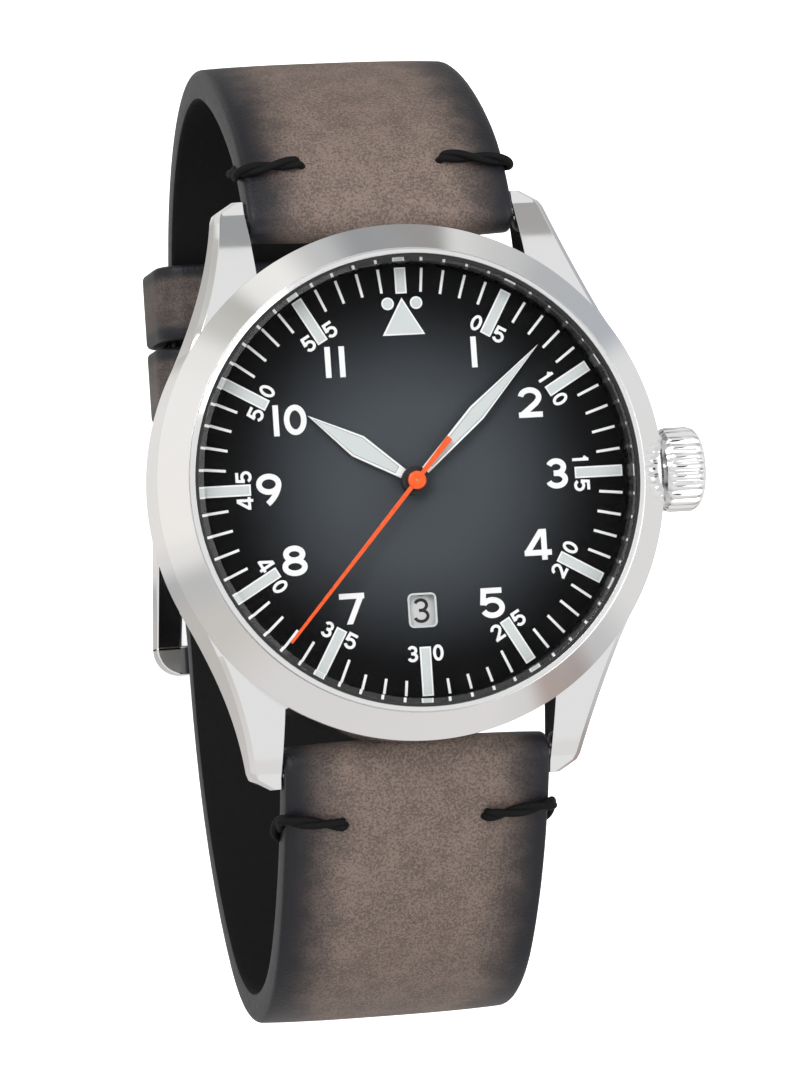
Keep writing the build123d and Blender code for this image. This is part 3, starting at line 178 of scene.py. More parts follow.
def rgba(colour: Colour) -> Shade:
    """Give a colour its opaque alpha."""
    return (*colour, 1.0)


def dimmed(colour: Colour, share: float) -> Shade:
    """Multiply a colour by a share and give it its alpha."""
    return rgba(tuple(share * part for part in colour))


class Grain(Enum):
    """Way in which a metal surface is worked."""

    POLISHED = "polished"
    CIRCULAR = "circular"
    STRIPED = "striped"
    SPOTTED = "spotted"


def new_tree(name: str, kind: str, inputs: dict[str, str], outputs: dict[str, str]) -> Tree:
    """Make an empty shader group or geometry tree.

    Args:
        name: name of the tree.
        kind: Shader or Geometry.
        inputs: socket type of each input, by name.
        outputs: socket type of each output, by name.

    Returns:
        The tree, still without nodes.
    """
    group = bpy.data.node_groups.new(name, f"{kind}NodeTree")
    for way, sockets in (("INPUT", inputs), ("OUTPUT", outputs)):
        for title, socket in sockets.items():
            group.interface.new_socket(title, in_out=way, socket_type=f"NodeSocket{socket}")
    return Tree(group)


def uneven_group() -> bpy.types.NodeTree:
    """Group for slow smears and fine specks: a roughness and a height."""
    found = bpy.data.node_groups.get("Uneven surface")
    if found:
        return found
    inputs = {"Vector": "Vector", "Scale": "Float", "Low": "Float", "High": "Float"}
    tree = new_tree("Uneven surface", "Shader", inputs, {"Roughness": "Float", "Height": "Float"})
    given = tree.node("NodeGroupInput").outputs
    slow = tree.noise(given["Vector"], given["Scale"], 4.0)
    fine = tree.noise(given["Vector"], tree.math("MULTIPLY", given["Scale"], 9.0), 3.0)
    share = tree.spread(slow, 0.3, 0.7, 0.0, 1.0)
    span = tree.math("SUBTRACT", given["High"], given["Low"])
    rough = tree.math("MULTIPLY_ADD", share, span, given["Low"])
    tree.node("NodeGroupOutput", {"Roughness": rough, "Height": fine})
    return tree.tree


def brushed_group() -> bpy.types.NodeTree:
    """Group for brushing that runs round the Z axis: a mask and a height."""
    found = bpy.data.node_groups.get("Circular brushing")
    if found:
        return found
    inputs = {"Vector": "Vector", "Lines": "Float"}
    tree = new_tree("Circular brushing", "Shader", inputs, {"Mask": "Float", "Height": "Float"})
    given = tree.node("NodeGroupInput").outputs
    parts = tree.node("ShaderNodeSeparateXYZ", {0: given["Vector"]}).outputs
    along = tree.math("MULTIPLY", tree.math("ARCTAN2", parts[1], parts[0]), 3.0)
    across = tree.math("MULTIPLY", tree.radius(parts), given["Lines"])
    level = tree.math("MULTIPLY", parts[2], given["Lines"])
    lines = tree.noise(tree.combine(across, level, along), 1.0, 4.0)
    mask = tree.spread(lines, 0.35, 0.65, 0.0, 1.0)
    tree.node("NodeGroupOutput", {"Mask": mask, "Height": lines})
    return tree.tree


@dataclass(frozen=True)
class Finish:
    """Finish of a surface, with the record's slot that it stands for."""

    name: str
    slot: str
    colour: Colour
    roughness: float = 0.5
    shine: float = 0.5

    def material(self) -> bpy.types.Material:
        """Return the finish's material, made at its first use."""
        title = f"{self.name}_finish"
        found = bpy.data.materials.get(title)
        if found:
            return found
        made = bpy.data.materials.new(title)
        made.use_nodes = True
        shader = made.node_tree.nodes["Principled BSDF"]
        shader.inputs["Base Color"].default_value = rgba(self.colour)
        shader.inputs["Roughness"].default_value = self.roughness
        shader.inputs["Specular IOR Level"].default_value = self.shine
        self.dress(Tree(made.node_tree), shader)
        return made

    def dress(self, tree: Tree, shader: Node) -> None:
        """Add the finish's own nodes."""

    def place(self, tree: Tree) -> Socket:
        """Return the object coordinates."""
        return tree.node("ShaderNodeTexCoord").outputs["Object"]

    def bump(self, tree: Tree, shader: Node, height: Socket, strength: float, depth: float) -> None:
        """Lead a height to the shader's normal."""
        inputs = {"Height": height, "Strength": strength, "Distance": depth}
        tree.link(tree.out("ShaderNodeBump", inputs), shader.inputs["Normal"])

    def uneven(self, tree: Tree, scale: float, low: float, high: float) -> Node:
        """Add the group for smears and specks."""
        node = tree.node("ShaderNodeGroup", node_tree=uneven_group())
        tree.link(self.place(tree), node.inputs["Vector"])
        node.inputs["Scale"].default_value = scale
        node.inputs["Low"].default_value = low
        node.inputs["High"].default_value = high
        return node


@dataclass(frozen=True)
class Metal(Finish):
    """Bare or plated metal."""

    grain: Grain = Grain.POLISHED
    pitch: float = 1.6 * MM
    smear_scale: float = 420.0
    smear_span: Point = (0.75, 1.3)
    lines: float = 9000.0
    groove_rough: float = 0.12
    specks: Point = (0.03, 0.01 * MM)
    brushing: Point = (0.25, 0.02 * MM)
    pattern: Point = (0.5, 0.05 * MM)

    def dress(self, tree: Tree, shader: Node) -> None:
        """Make the surface metallic and work it in its grain."""
        shader.inputs["Metallic"].default_value = 1.0
        low, high = (share * self.roughness for share in self.smear_span)
        smear = self.uneven(tree, self.smear_scale, low, high)
        if self.grain is Grain.POLISHED:
            tree.link(smear.outputs["Roughness"], shader.inputs["Roughness"])
            self.bump(tree, shader, smear.outputs["Height"], *self.specks)
            return
        brushed = tree.node("ShaderNodeGroup", node_tree=brushed_group())
        tree.link(self.place(tree), brushed.inputs["Vector"])
        brushed.inputs["Lines"].default_value = self.lines
        mask, base = brushed.outputs["Mask"], smear.outputs["Roughness"]
        rough = tree.math("MULTIPLY_ADD", mask, self.groove_rough, base)
        tree.link(rough, shader.inputs["Roughness"])
        if self.grain is Grain.CIRCULAR:
            self.bump(tree, shader, brushed.outputs["Height"], *self.brushing)
            return
        self.bump(tree, shader, self.relief(tree), *self.pattern)

    def relief(self, tree: Tree) -> Socket:
        """Return the height of the stripes or spots."""
        if self.grain is Grain.SPOTTED:
            inputs = {"Vector": self.place(tree), "Scale": 1.0 / self.pitch, "Randomness": 0.15}
            rings = tree.node("ShaderNodeTexVoronoi", inputs).outputs["Distance"]
            return tree.math("FRACT", tree.math("MULTIPLY", rings, 5.0))
        parts = tree.node("ShaderNodeSeparateXYZ", {0: self.place(tree)}).outputs
        slant = tree.math("MULTIPLY_ADD", parts[1], 0.6, parts[0])
        wave = tree.math("PINGPONG", slant, self.pitch)
        return tree.math("DIVIDE", wave, self.pitch)


@dataclass(frozen=True)
class Paint(Finish):
    """Flat or glossy paint with a faint texture."""

    grain_scale: float = 2500.0
    relief: float = 0.08
    depth: float = 0.02 * MM
    coat: float = 0.0

    def dress(self, tree: Tree, shader: Node) -> None:
        """Vary the paint's tone and sheen a little."""
        shader.inputs["Coat Weight"].default_value = self.coat
        smear = self.uneven(tree, self.grain_scale, 0.85 * self.roughness, 1.1 * self.roughness)
        tree.link(smear.outputs["Roughness"], shader.inputs["Roughness"])
        tone = tree.mix(smear.outputs["Height"], dimmed(self.colour, 0.93), rgba(self.colour))
        tree.link(tone, shader.inputs["Base Color"])
        self.bump(tree, shader, smear.outputs["Height"], self.relief, self.depth)


@dataclass(frozen=True)
class ShadedPaint(Paint):
    """Dial paint with painted shade: it turns darker towards the rim."""

    # painted shade: the near-black tone that the dial is darkened to at its rim
    rim: Colour = (0.0045, 0.0045, 0.005)
    fade: Point = (5.0 * MM, 15.5 * MM)
    speckle: float = 0.06
    speckle_scale: float = 9000.0

    def dress(self, tree: Tree, shader: Node) -> None:
        """Darken the colour with the distance from the hands, as painted shade towards the rim."""
        super().dress(tree, shader)
        parts = tree.node("ShaderNodeSeparateXYZ", {0: self.place(tree)}).outputs
        share = tree.spread(tree.radius(parts), *self.fade, 0.0, 1.0)
        grain = self.uneven(tree, self.speckle_scale, 0.0, 1.0).outputs["Height"]
        share = tree.math("MULTIPLY_ADD", tree.math("SUBTRACT", grain, 0.5), self.speckle, share)
        # painted shade: blend from the dial's own colour to the dark rim tone
        tone = tree.mix(share, rgba(self.colour), rgba(self.rim))
        tree.link(tone, shader.inputs["Base Color"])


@dataclass(frozen=True)
class ClearGlass(Finish):
    """Clear glass or ruby that lets light reach what lies behind it."""

    index: float = 1.5

    def dress(self, tree: Tree, shader: Node) -> None:
        """Make the glass clear, also to the light that falls through it."""
        shader.inputs["Transmission Weight"].default_value = 1.0
        shader.inputs["IOR"].default_value = self.index
        path = tree.node("ShaderNodeLightPath")
        bare = tree.node("ShaderNodeBsdfTransparent", {"Color": rgba(self.colour)})
        inputs = {0: path.outputs["Is Shadow Ray"], 1: shader.outputs[0], 2: bare.outputs[0]}
        both = tree.node("ShaderNodeMixShader", inputs)
        output = tree.tree.nodes["Material Output"]
        tree.link(both.outputs[0], output.inputs["Surface"])


@dataclass(frozen=True)
class Hide(Finish):
    """Waxed hide: a mottled tone, pores, and burnished dark borders.

    Needs the attribute "border", the distance to the nearest edge in metres.
    """

    pale: Colour = (0.222, 0.165, 0.138)
    burnish: Colour = (0.0105, 0.0105, 0.0145)
    fade: Point = (0.6 * MM, 5.7 * MM)
    wander: float = 1.6 * MM
    cloud_scale: float = 480.0
    speck_scale: float = 5200.0
    pore_scale: float = 3800.0
    mottle: Point = (1.66, 2.32)
    pore_size: float = 0.34
    wax: float = 0.12
    grain_depth: float = 0.12 * MM

    def dress(self, tree: Tree, shader: Node) -> None:
        """Mix the tones of the hide and raise its grain."""
        place = self.place(tree)
        border = tree.node("ShaderNodeAttribute", attribute_name="border").outputs["Fac"]
        cloud = tree.noise(place, self.cloud_scale, 7.0)
        speck = tree.noise(place, self.speck_scale, 5.0)
        inputs = {"Vector": place, "Scale": self.pore_scale}
        pores = tree.node("ShaderNodeTexVoronoi", inputs).outputs["Distance"]
        blend = tree.spread(tree.math("MULTIPLY_ADD", speck, 3.0, cloud), *self.mottle, 0.0, 1.0)
        base = tree.mix(blend, rgba(self.colour), rgba(self.pale))
        pore = tree.spread(pores, 0.0, self.pore_size, 0.92, 0.0)
        base = tree.mix(pore, base, dimmed(self.colour, 0.4))
        wander = tree.math("MULTIPLY_ADD", tree.math("SUBTRACT", cloud, 0.5), self.wander, border)
        edge = tree.spread(wander, *self.fade, 1.0, 0.0)
        tone = tree.mix(edge, base, rgba(self.burnish))
        tree.link(tone, shader.inputs["Base Color"])
        rough = tree.math("MULTIPLY_ADD", edge, -self.wax, self.roughness)
        tree.link(rough, shader.inputs["Roughness"])
        height = tree.math("MULTIPLY_ADD", speck, 0.7, tree.math("MULTIPLY", pores, 0.5))
        self.bump(tree, shader, height, 0.35, self.grain_depth)


@dataclass(frozen=True)
class SoftBlack(Finish):
    """Matt black lining, rubber or thread."""

    scale: float = 1400.0
    relief: float = 0.4
    depth: float = 0.08 * MM

    def dress(self, tree: Tree, shader: Node) -> None:
        """Raise a fine nap and vary the black a little."""
        smear = self.uneven(tree, self.scale, 0.9 * self.roughness, self.roughness)
        tree.link(smear.outputs["Roughness"], shader.inputs["Roughness"])
        tone = tree.mix(smear.outputs["Height"], rgba(self.colour), dimmed(self.colour, 1.8))
        tree.link(tone, shader.inputs["Base Color"])
        self.bump(tree, shader, smear.outputs["Height"], self.relief, self.depth)


POLISHED = Metal("polished_steel", "polished_steel", (0.86, 0.86, 0.86), 0.09)
SATIN = Metal("satin_steel", "satin_steel", (0.72, 0.72, 0.72), 0.24, grain=Grain.CIRCULAR)
CLEAR = ClearGlass("clear_glass", "clear_glass", (1.0, 1.0, 1.0), 0.0, index=1.38)
RUBY = ClearGlass("ruby", "ruby", (0.75, 0.03, 0.12), 0.05, index=1.76)
RUBBER = SoftBlack("gasket_rubber", "gasket_rubber", (0.008, 0.008, 0.008), 0.6)
# the dial's paint carries painted shade that darkens it towards the rim
DIAL = ShadedPaint("dial_paint", "dial_black", (0.058, 0.066, 0.074), 0.42, 0.06, relief=0.04)
REHAUT = Paint("rehaut_paint", "rehaut_black", (0.006, 0.006, 0.007), 0.3, 0.25)
LUME = Paint("lume_fill", "lume_paint", (0.57, 0.61, 0.605), 0.6, 0.3, relief=0.2)
WHITE = Paint("white_print", "white_paint", (0.84, 0.85, 0.85), 0.45)
ORANGE = Paint("orange_lacquer", "orange_paint", (0.95, 0.105, 0.01), 0.3, coat=0.3)
DATE_GREY = Paint("date_disc", "date_grey", (0.6, 0.6, 0.6), 0.5)
BLACK_PRINT = Paint("black_print", "dial_black", (0.006, 0.006, 0.006), 0.5)
STRIPED = Metal("striped_nickel", "plate_nickel", (0.74, 0.73, 0.7), 0.2, grain=Grain.STRIPED)
SPOTTED = Metal(
    "spotted_nickel", "plate_nickel", (0.7, 0.69, 0.66), 0.22, grain=Grain.SPOTTED, pitch=1.0 * MM,
)
GILT = Metal("gilt_brass", "gilt_brass", (0.88, 0.66, 0.3), 0.2, grain=Grain.CIRCULAR)
BLUED = Metal("blued_steel", "spring_steel", (0.06, 0.1, 0.4), 0.15)
WORKED = Metal("fine_steel", "satin_steel", (0.7, 0.7, 0.71), 0.18)
HIDE = Hide("waxed_hide", "hide", (0.122, 0.092, 0.078), 0.56, 0.3)
EDGE = SoftBlack("edge_paint", "hide", (0.01, 0.0105, 0.014), 0.5, 0.35, relief=0.3)
LINING = SoftBlack("lining", "lining_hide", (0.006, 0.006, 0.006), 0.8, 0.1)
THREAD = SoftBlack("waxed_thread", "hide", (0.003, 0.003, 0.0035), 0.7, 0.15, scale=3000.0)


def add(name: str, data: bpy.types.ID) -> Piece:
    """Make an object from a mesh, a lamp or a camera and link it to the scene."""
    made = bpy.data.objects.new(name, data)
    bpy.context.scene.collection.objects.link(made)
    return made


def solid(name: str, points: Sequence[Sequence[float]], faces: Sequence[Sequence[int]]) -> Piece:
    """Make a mesh object and link it to the scene.

    Args:
        name: name of the object.
        points: corners, in metres.
        faces: corner numbers of each face.

    Returns:
        The new object, at the origin.
    """
    mesh = bpy.data.meshes.new(name)
    mesh.from_pydata([tuple(point) for point in points], [], [tuple(face) for face in faces])
    return add(name, mesh)


def tidy_mesh(piece: Piece, merge: bool = True) -> None:
    """Drop loose corners, merge doubled ones if asked, and point the faces outwards."""
    shape = bmesh.new()
    shape.from_mesh(piece.data)
    loose = [corner for corner in shape.verts if not corner.link_faces]
    bmesh.ops.delete(shape, geom=loose, context="VERTS")
    if merge:
        bmesh.ops.remove_doubles(shape, verts=shape.verts, dist=SAME_PLACE)
        bmesh.ops.dissolve_degenerate(shape, edges=shape.edges, dist=NO_LENGTH)
    bmesh.ops.recalc_face_normals(shape, faces=shape.faces)
    shape.to_mesh(piece.data)
    shape.free()


def smooth(piece: Piece, angle: float = SMOOTH_ANGLE) -> None:
    """Shade a piece smoothly, with its sharp corners kept."""
    piece.data.shade_smooth()
    piece.data.set_sharp_from_angle(angle=radians(angle))


def round_edges(piece: Piece, width: float, steps: int = 2) -> None:
    """Break the sharp edges of a piece with a small bevel."""
    bevel = piece.modifiers.new("broken_edges", "BEVEL")
    bevel.width = width
    bevel.segments = steps
    bevel.limit_method = "ANGLE"
    bevel.angle_limit = radians(BEVEL_ANGLE)
    bevel.harden_normals = False


def lathe(name: str, profile: Sequence[Point], steps: int = ROUND_STEPS) -> Piece:
    """Turn a closed profile of radius and height about the Z axis.

    Args:
        name: name of the object.
        profile: corners as (radius, height), in metres.
        steps: segments round the axis.

    Returns:
        The turned object.
    """
    points: list[Place] = []
    for step in range(steps):
        turn = FULL_TURN * step / steps
        points.extend((r * cos(turn), r * sin(turn), z) for r, z in profile)
    made = solid(name, points, ring_faces(steps, len(profile), True))
    tidy_mesh(made)
    return made


def ring_faces(rings: int, steps: int, closed: bool = False) -> list[Sequence[int]]:
    """Faces between rings of points, each joined to the next.

    Args:
        rings: number of rings.
        steps: points in each ring.
        closed: whether the last ring is joined to the first.

    Returns:
        Corner numbers of the faces.
    """
    faces: list[Sequence[int]] = []
    for ring in range(rings if closed else rings - 1):
        low = ring * steps
        high = (ring + 1) % rings * steps
        for step in range(steps):
            after = (step + 1) % steps
            faces.append((low + step, low + after, high + after, high + step))
    return faces


def prism(
    name: str, outline: Sequence[Point], low: float, high: float, frame: Matrix | None = None,
) -> Piece:
    """Raise a flat outline between two heights, in an optional frame."""
    count = len(outline)
    points = [Vector((x, y, z)) for z in (low, high) for x, y in outline]
    if frame is not None:
        points = [frame @ point for point in points]
    faces: list[Sequence[int]] = [tuple(reversed(range(count))), tuple(range(count, 2 * count))]
    for corner in range(count):
        after = (corner + 1) % count
        faces.append((corner, after, count + after, count + corner))
    made = solid(name, points, faces)
    tidy_mesh(made)
    return made


def join(name: str, pieces: Sequence[Piece]) -> Piece:
    """Join several meshes into one object."""
    merged = bmesh.new()
    for piece in pieces:
        merged.from_mesh(piece.data)
    mesh = bpy.data.meshes.new(name)
    merged.to_mesh(mesh)
    merged.free()
    made = add(name, mesh)
    for piece in pieces:
        bpy.data.objects.remove(piece)
    return made


def settle(piece: Piece, finish: Finish, body: str, *nodes: str) -> None:
    """Give a piece its finish and body, and let it stand for CAD nodes.

    Args:
        piece: the finished mesh.
        finish: what its surface is made of.
        body: CAD body that carries it.
        *nodes: CAD nodes that it replaces.
    """
    if not piece.data.materials:
        piece.data.materials.append(finish.material())
    if nodes:
        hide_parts(*nodes)
    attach(piece, body)
    LOG.info("%s rides on %s", piece.name, body)


def mark_borders(piece: Piece, gaps: Sequence[float]) -> None:
    """Store each corner's distance to the nearest border, which the hide's tone follows."""
    values = piece.data.attributes.new("border", "FLOAT", "POINT")
    values.data.foreach_set("value", gaps)


def plain_mesh(piece: Piece) -> Piece:
    """Turn what a piece's modifiers make into its own mesh."""
    bpy.context.view_layer.update()
    evaluated = piece.evaluated_get(bpy.context.evaluated_depsgraph_get())
    made = add(piece.name + "_mesh", bpy.data.meshes.new_from_object(evaluated))
    name = piece.name
    bpy.data.objects.remove(piece)
    made.name = name
    return made


def cut_out(piece: Piece, cutter: Piece) -> Piece:
    """Cut one solid out of another and return what is left."""
    cut = piece.modifiers.new("cut", "BOOLEAN")
    cut.object = cutter
    cut.solver = "EXACT"
    left = plain_mesh(piece)
    bpy.data.objects.remove(cutter)
    left.data.materials.clear()
    return left


@dataclass(frozen=True)
class Levels:
    """Heights of the case and dial, taken from the frame."""

    dial: float
    crystal_top: float
    case_back: float
    rest: float

    @classmethod
    def of_frame(cls) -> "Levels":
        """Read the heights from the CAD nodes."""
        return cls(
            dial=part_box("dial")[1].z,
            crystal_top=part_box("crystal")[1].z,
            case_back=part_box("case_back")[0].z,
            rest=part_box("fixed_keeper")[0].z,
        )


@dataclass
class Case:
    """Polished middle case with its lugs, bezel, glass and back.

    Levels are heights over the dial, and a lug's own places are distances
    from the hands.
    """

    levels: Levels
    radius: float = 20.5 * MM
    bore: float = 17.6 * MM
    seat: float = -0.2 * MM
    foot: float = -6.4 * MM
    upper_edge: float = 0.15 * MM
    lower_edge: float = 0.9 * MM
    broken_edge: float = 0.12 * MM
    fine_edge: float = 0.04 * MM
    fit: float = 0.01 * MM
    lug_gap: float = 22.0 * MM
    lug_rows: int = 28
    lug_columns: int = 10
    lug_start: float = 9.0 * MM
    lug_facet: float = 22.65 * MM
    lug_end: float = 23.55 * MM
    side_start: Point = (18.3 * MM, 9.0 * MM)
    side_middle: Point = (15.4 * MM, 15.4 * MM)
    side_end: Point = (13.45 * MM, 22.6 * MM)
    side_facet: float = 0.42 * MM
    side_fall: float = 0.35 * MM
    side_fall_run: float = 2.0 * MM
    end_fall: float = 0.3 * MM
    tip_start: float = 22.0 * MM
    tip_round: float = 1.6 * MM
    lug_level: float = -0.25 * MM
    shoulder: float = 11.2 * MM
    slope_fall: float = 6.6 * MM
    slope_even: float = 0.3
    hollow_start: float = 15.0 * MM
    hollow_run: float = 7.8 * MM
    lug_foot_level: float = -8.2 * MM
    rim_radius: float = 17.85 * MM
    bezel_top: float = 2.6 * MM
    bezel_lip: Point = (0.06 * MM, 0.05 * MM)
    line_radius: float = 18.3 * MM
    line_half: float = 0.05 * MM
    line_levels: tuple[float, float, float] = (2.35 * MM, 2.25 * MM, 2.42 * MM)
    glass_radius: float = 17.6 * MM
    glass_foot: float = 1.9 * MM
    glass_edge: float = 0.35 * MM
    glass_dome: float = 0.3 * MM
    dome_steps: int = 8
    gasket_top: float = 2.4 * MM
    rehaut_inner: float = 17.2 * MM
    rehaut_lip: float = 17.45 * MM
    back_radius: float = 19.0 * MM
    back_edge: float = 0.6 * MM
    spigot_inner: float = 16.4 * MM
    spigot_rise: float = 1.0 * MM
    window_radius: float = 13.4 * MM
    window_lip: float = 12.6 * MM
    window_bevel: float = 0.3 * MM
    notches: int = 6
    notch_inner: float = 17.4 * MM
    notch_outer: float = 20.0 * MM
    notch_half: float = 1.1 * MM
    notch_depth: float = 0.6 * MM
    round_steps: int = 256

    def build(self) -> None:
        """Build the case's pieces in order."""
        self.middle()
        self.bezel()
        self.glass()
        self.rehaut()
        self.back()

    def height(self, level: float) -> float:
        """Height in the frame of a level over the dial."""
        return self.levels.dial + level

    def turned(self, name: str, profile: Sequence[Point], steps: int = ROUND_STEPS) -> Piece:
        """Turn a profile of radii and levels over the dial."""
        return lathe(name, [(radius, self.height(level)) for radius, level in profile], steps)

    def middle(self) -> None:
        """Make the middle case with its four lugs."""
        profile = (
            (self.bore, self.seat),
            (self.radius - self.upper_edge, self.seat),
            (self.radius, self.seat - self.upper_edge),
            (self.radius, self.foot + self.lower_edge),
            (self.radius - self.lower_edge, self.foot),
            (self.bore, self.foot),
        )
        ring = self.turned("case_body", profile)
        lugs = [self.lug(side_x, side_y) for side_x in (1, -1) for side_y in (1, -1)]
        piece = join("case_middle_piece", [ring, *lugs])
        round_edges(piece, self.broken_edge, 3)
        smooth(piece)
        settle(piece, POLISHED, "case", "case_middle")

    def lug(self, side_x: int, side_y: int) -> Piece:
        """Make one lug from rings that go over its top and back along its foot.

        Args:
            side_x: 1 for the crown side, -1 for the other.
            side_y: 1 for the lugs at 12, -1 for those at 6.

        Returns:
            The lug's closed mesh.
        """
        rows, columns = self.lug_rows, self.lug_columns
        inner_x = self.lug_gap / 2
        points: list[Place] = []
        for row in range(rows + 1):
            y = self.lug_row(row)
            outer_x = self.lug_side(y)
            run = outer_x - self.side_facet - inner_x
            across = [inner_x + run * column / (columns - 1) for column in range(columns)] + [outer_x]
            upper = [(side_x * x, side_y * y, self.lug_top(row, column)) for column, x in enumerate(across)]
            lower = [(side_x * x, side_y * y, self.lug_foot(y)) for x in reversed(across)]
            points += [*upper, *lower]
        ring = 2 * (columns + 1)
        faces = ring_faces(rows + 1, ring)
        for first in (0, rows * ring):
            last = first + ring - 1
            faces += [(first + c, first + c + 1, last - c - 1, last - c) for c in range(columns)]
        made = solid("lug", points, faces)
        tidy_mesh(made)
        return made

    def lug_row(self, row: int) -> float:
        """Distance from the hands of a row across a lug."""
        if row == self.lug_rows:
            return self.lug_end
        return self.lug_start + (self.lug_facet - self.lug_start) * row / (self.lug_rows - 1)

    def lug_side(self, y: float) -> float:
        """Outer side of a lug at a distance along it, on a hollow arc."""
        start, middle, end = (Vector(point) for point in (self.side_start, self.side_middle, self.side_end))
        share = min(1.0, max(0.0, (y - start.y) / (end.y - start.y)))
        chord = start.lerp(end, share)
        middle_share = (middle.y - start.y) / (end.y - start.y)
        sag = start.lerp(end, middle_share).x - middle.x
        curve = share * (1 - share) / (middle_share * (1 - middle_share))
        rounding = max(0.0, y - self.tip_start) / (self.lug_end - self.tip_start)
        return chord.x - sag * curve - self.tip_round * (1 - (1 - min(1.0, rounding) ** 2) ** 0.5)

    def lug_top(self, row: int, column: int) -> float:
        """Height of a lug's upper grid, with its facets at the side and the end."""
        at_side = column == self.lug_columns
        if row == self.lug_rows:
            return self.slope(self.lug_row(row - 1)) - self.end_fall * (2 if at_side else 1)
        y = self.lug_row(row)
        if not at_side:
            return self.slope(y)
        return self.slope(y) - self.side_fall * min(1.0, max(0.0, (y - self.shoulder) / self.side_fall_run))

    def slope(self, y: float) -> float:
        """Height of a lug's main slope, which gets steeper towards the end."""
        share = max(0.0, y - self.shoulder) / (self.lug_end - self.shoulder)
        fall = self.slope_even * share + (1 - self.slope_even) * share * share
        return self.height(self.lug_level) - self.slope_fall * fall

    def lug_foot(self, y: float) -> float:
        """Height of a lug's underside."""
        start = self.height(self.foot)
        end = self.height(self.lug_foot_level)
        share = min(1.0, max(0.0, (y - self.hollow_start) / self.hollow_run))
        return start + (end - start) * share * share

    def bezel(self) -> None:
        """Make the sloping polished bezel with the fine line round its lip."""
        slope_top, line_floor, lip_foot = self.line_levels
        profile = (
            (self.rim_radius, self.seat),
            (self.radius, self.seat),
            (self.radius, 0.0),
            (self.line_radius + self.line_half, slope_top),
            (self.line_radius + 0.4 * self.line_half, line_floor),
            (self.line_radius - 0.6 * self.line_half, line_floor),
            (self.line_radius - self.line_half, lip_foot),
            (self.rim_radius + self.bezel_lip[0], self.bezel_top),
            (self.rim_radius, self.bezel_top - self.bezel_lip[1]),
        )
        piece = self.turned("bezel_piece", profile, self.round_steps)
        round_edges(piece, self.fine_edge)
        smooth(piece, 24.0)
        settle(piece, POLISHED, "case", "bezel")

    def glass(self) -> None:
        """Make the domed crystal and its gasket."""
        radius = self.glass_radius
        foot = self.glass_foot
        top = self.levels.crystal_top - self.levels.dial
        reach = radius - self.glass_edge
        profile = [(0.0, foot), (radius, foot), (radius, top - self.glass_dome - self.glass_edge)]
        profile.append((reach, top - self.glass_dome))
        for step in range(1, self.dome_steps):
            place = reach * (1 - step / self.dome_steps)
            profile.append((place, top - self.glass_dome * (place / radius) ** 2))
        profile.append((0.0, top))
        piece = self.turned("crystal_piece", profile, self.round_steps)
        smooth(piece)
        settle(piece, CLEAR, "case", "crystal")
        seal = (
            (radius + self.fit, foot),
            (self.rim_radius - self.fit, foot),
            (self.rim_radius - self.fit, self.gasket_top),
            (radius + self.fit, self.gasket_top),
        )
        settle(self.turned("crystal_gasket_piece", seal), RUBBER, "case", "crystal_gasket")

    def rehaut(self) -> None:
        """Make the dark sloping ring round the dial."""
        outer = self.rim_radius - self.fit
        top = self.glass_foot - self.fit
        profile = (
            (self.rehaut_inner, self.fit / 2),
            (self.bore, self.fit / 2),
            (self.bore, self.seat),
            (outer, self.seat),
            (outer, top),
            (self.rehaut_lip, top),
        )
        piece = self.turned("rehaut_piece", profile, self.round_steps)
        smooth(piece)
        settle(piece, REHAUT, "case", "rehaut_ring")

    def back(self) -> None:
        """Make the screwed back with its notches and its window."""
        seat = self.foot
        top = seat + self.spigot_rise
        face = self.levels.case_back - self.levels.dial
        ledge = face + self.back_edge
        profile = (
            (self.window_lip, ledge),
            (self.window_lip + self.window_bevel, face),
            (self.back_radius - self.back_edge, face),
            (self.back_radius, ledge),
            (self.back_radius, seat),
            (self.bore, seat),
            (self.bore, top),
            (self.spigot_inner, top),
            (self.spigot_inner, seat),
            (self.window_radius, seat),
            (self.window_radius, ledge),
        )
        notches = [self.notch(turn) for turn in range(self.notches)]
        piece = cut_out(self.turned("case_back_piece", profile), join("notch_cutter", notches))
        round_edges(piece, self.broken_edge / 2)
        smooth(piece)
        settle(piece, SATIN, "case", "case_back")
        window = ((0.0, ledge), (self.window_radius, ledge), (self.window_radius, seat), (0.0, seat))
        piece = self.turned("case_back_glass_piece", window)
        smooth(piece)
        settle(piece, CLEAR, "case", "case_back_glass")

    def notch(self, turn: int) -> Piece:
        """Make the cutter of one wrench notch."""
        frame = Matrix.Rotation(FULL_TURN * turn / self.notches, 4, "Z")
        half = self.notch_half
        inner, outer = self.notch_inner, self.notch_outer
        outline = ((inner, -half), (outer, -half), (outer, half), (inner, half))
        face = self.levels.case_back
        return prism("notch", outline, face - self.notch_depth, face + self.notch_depth, frame)


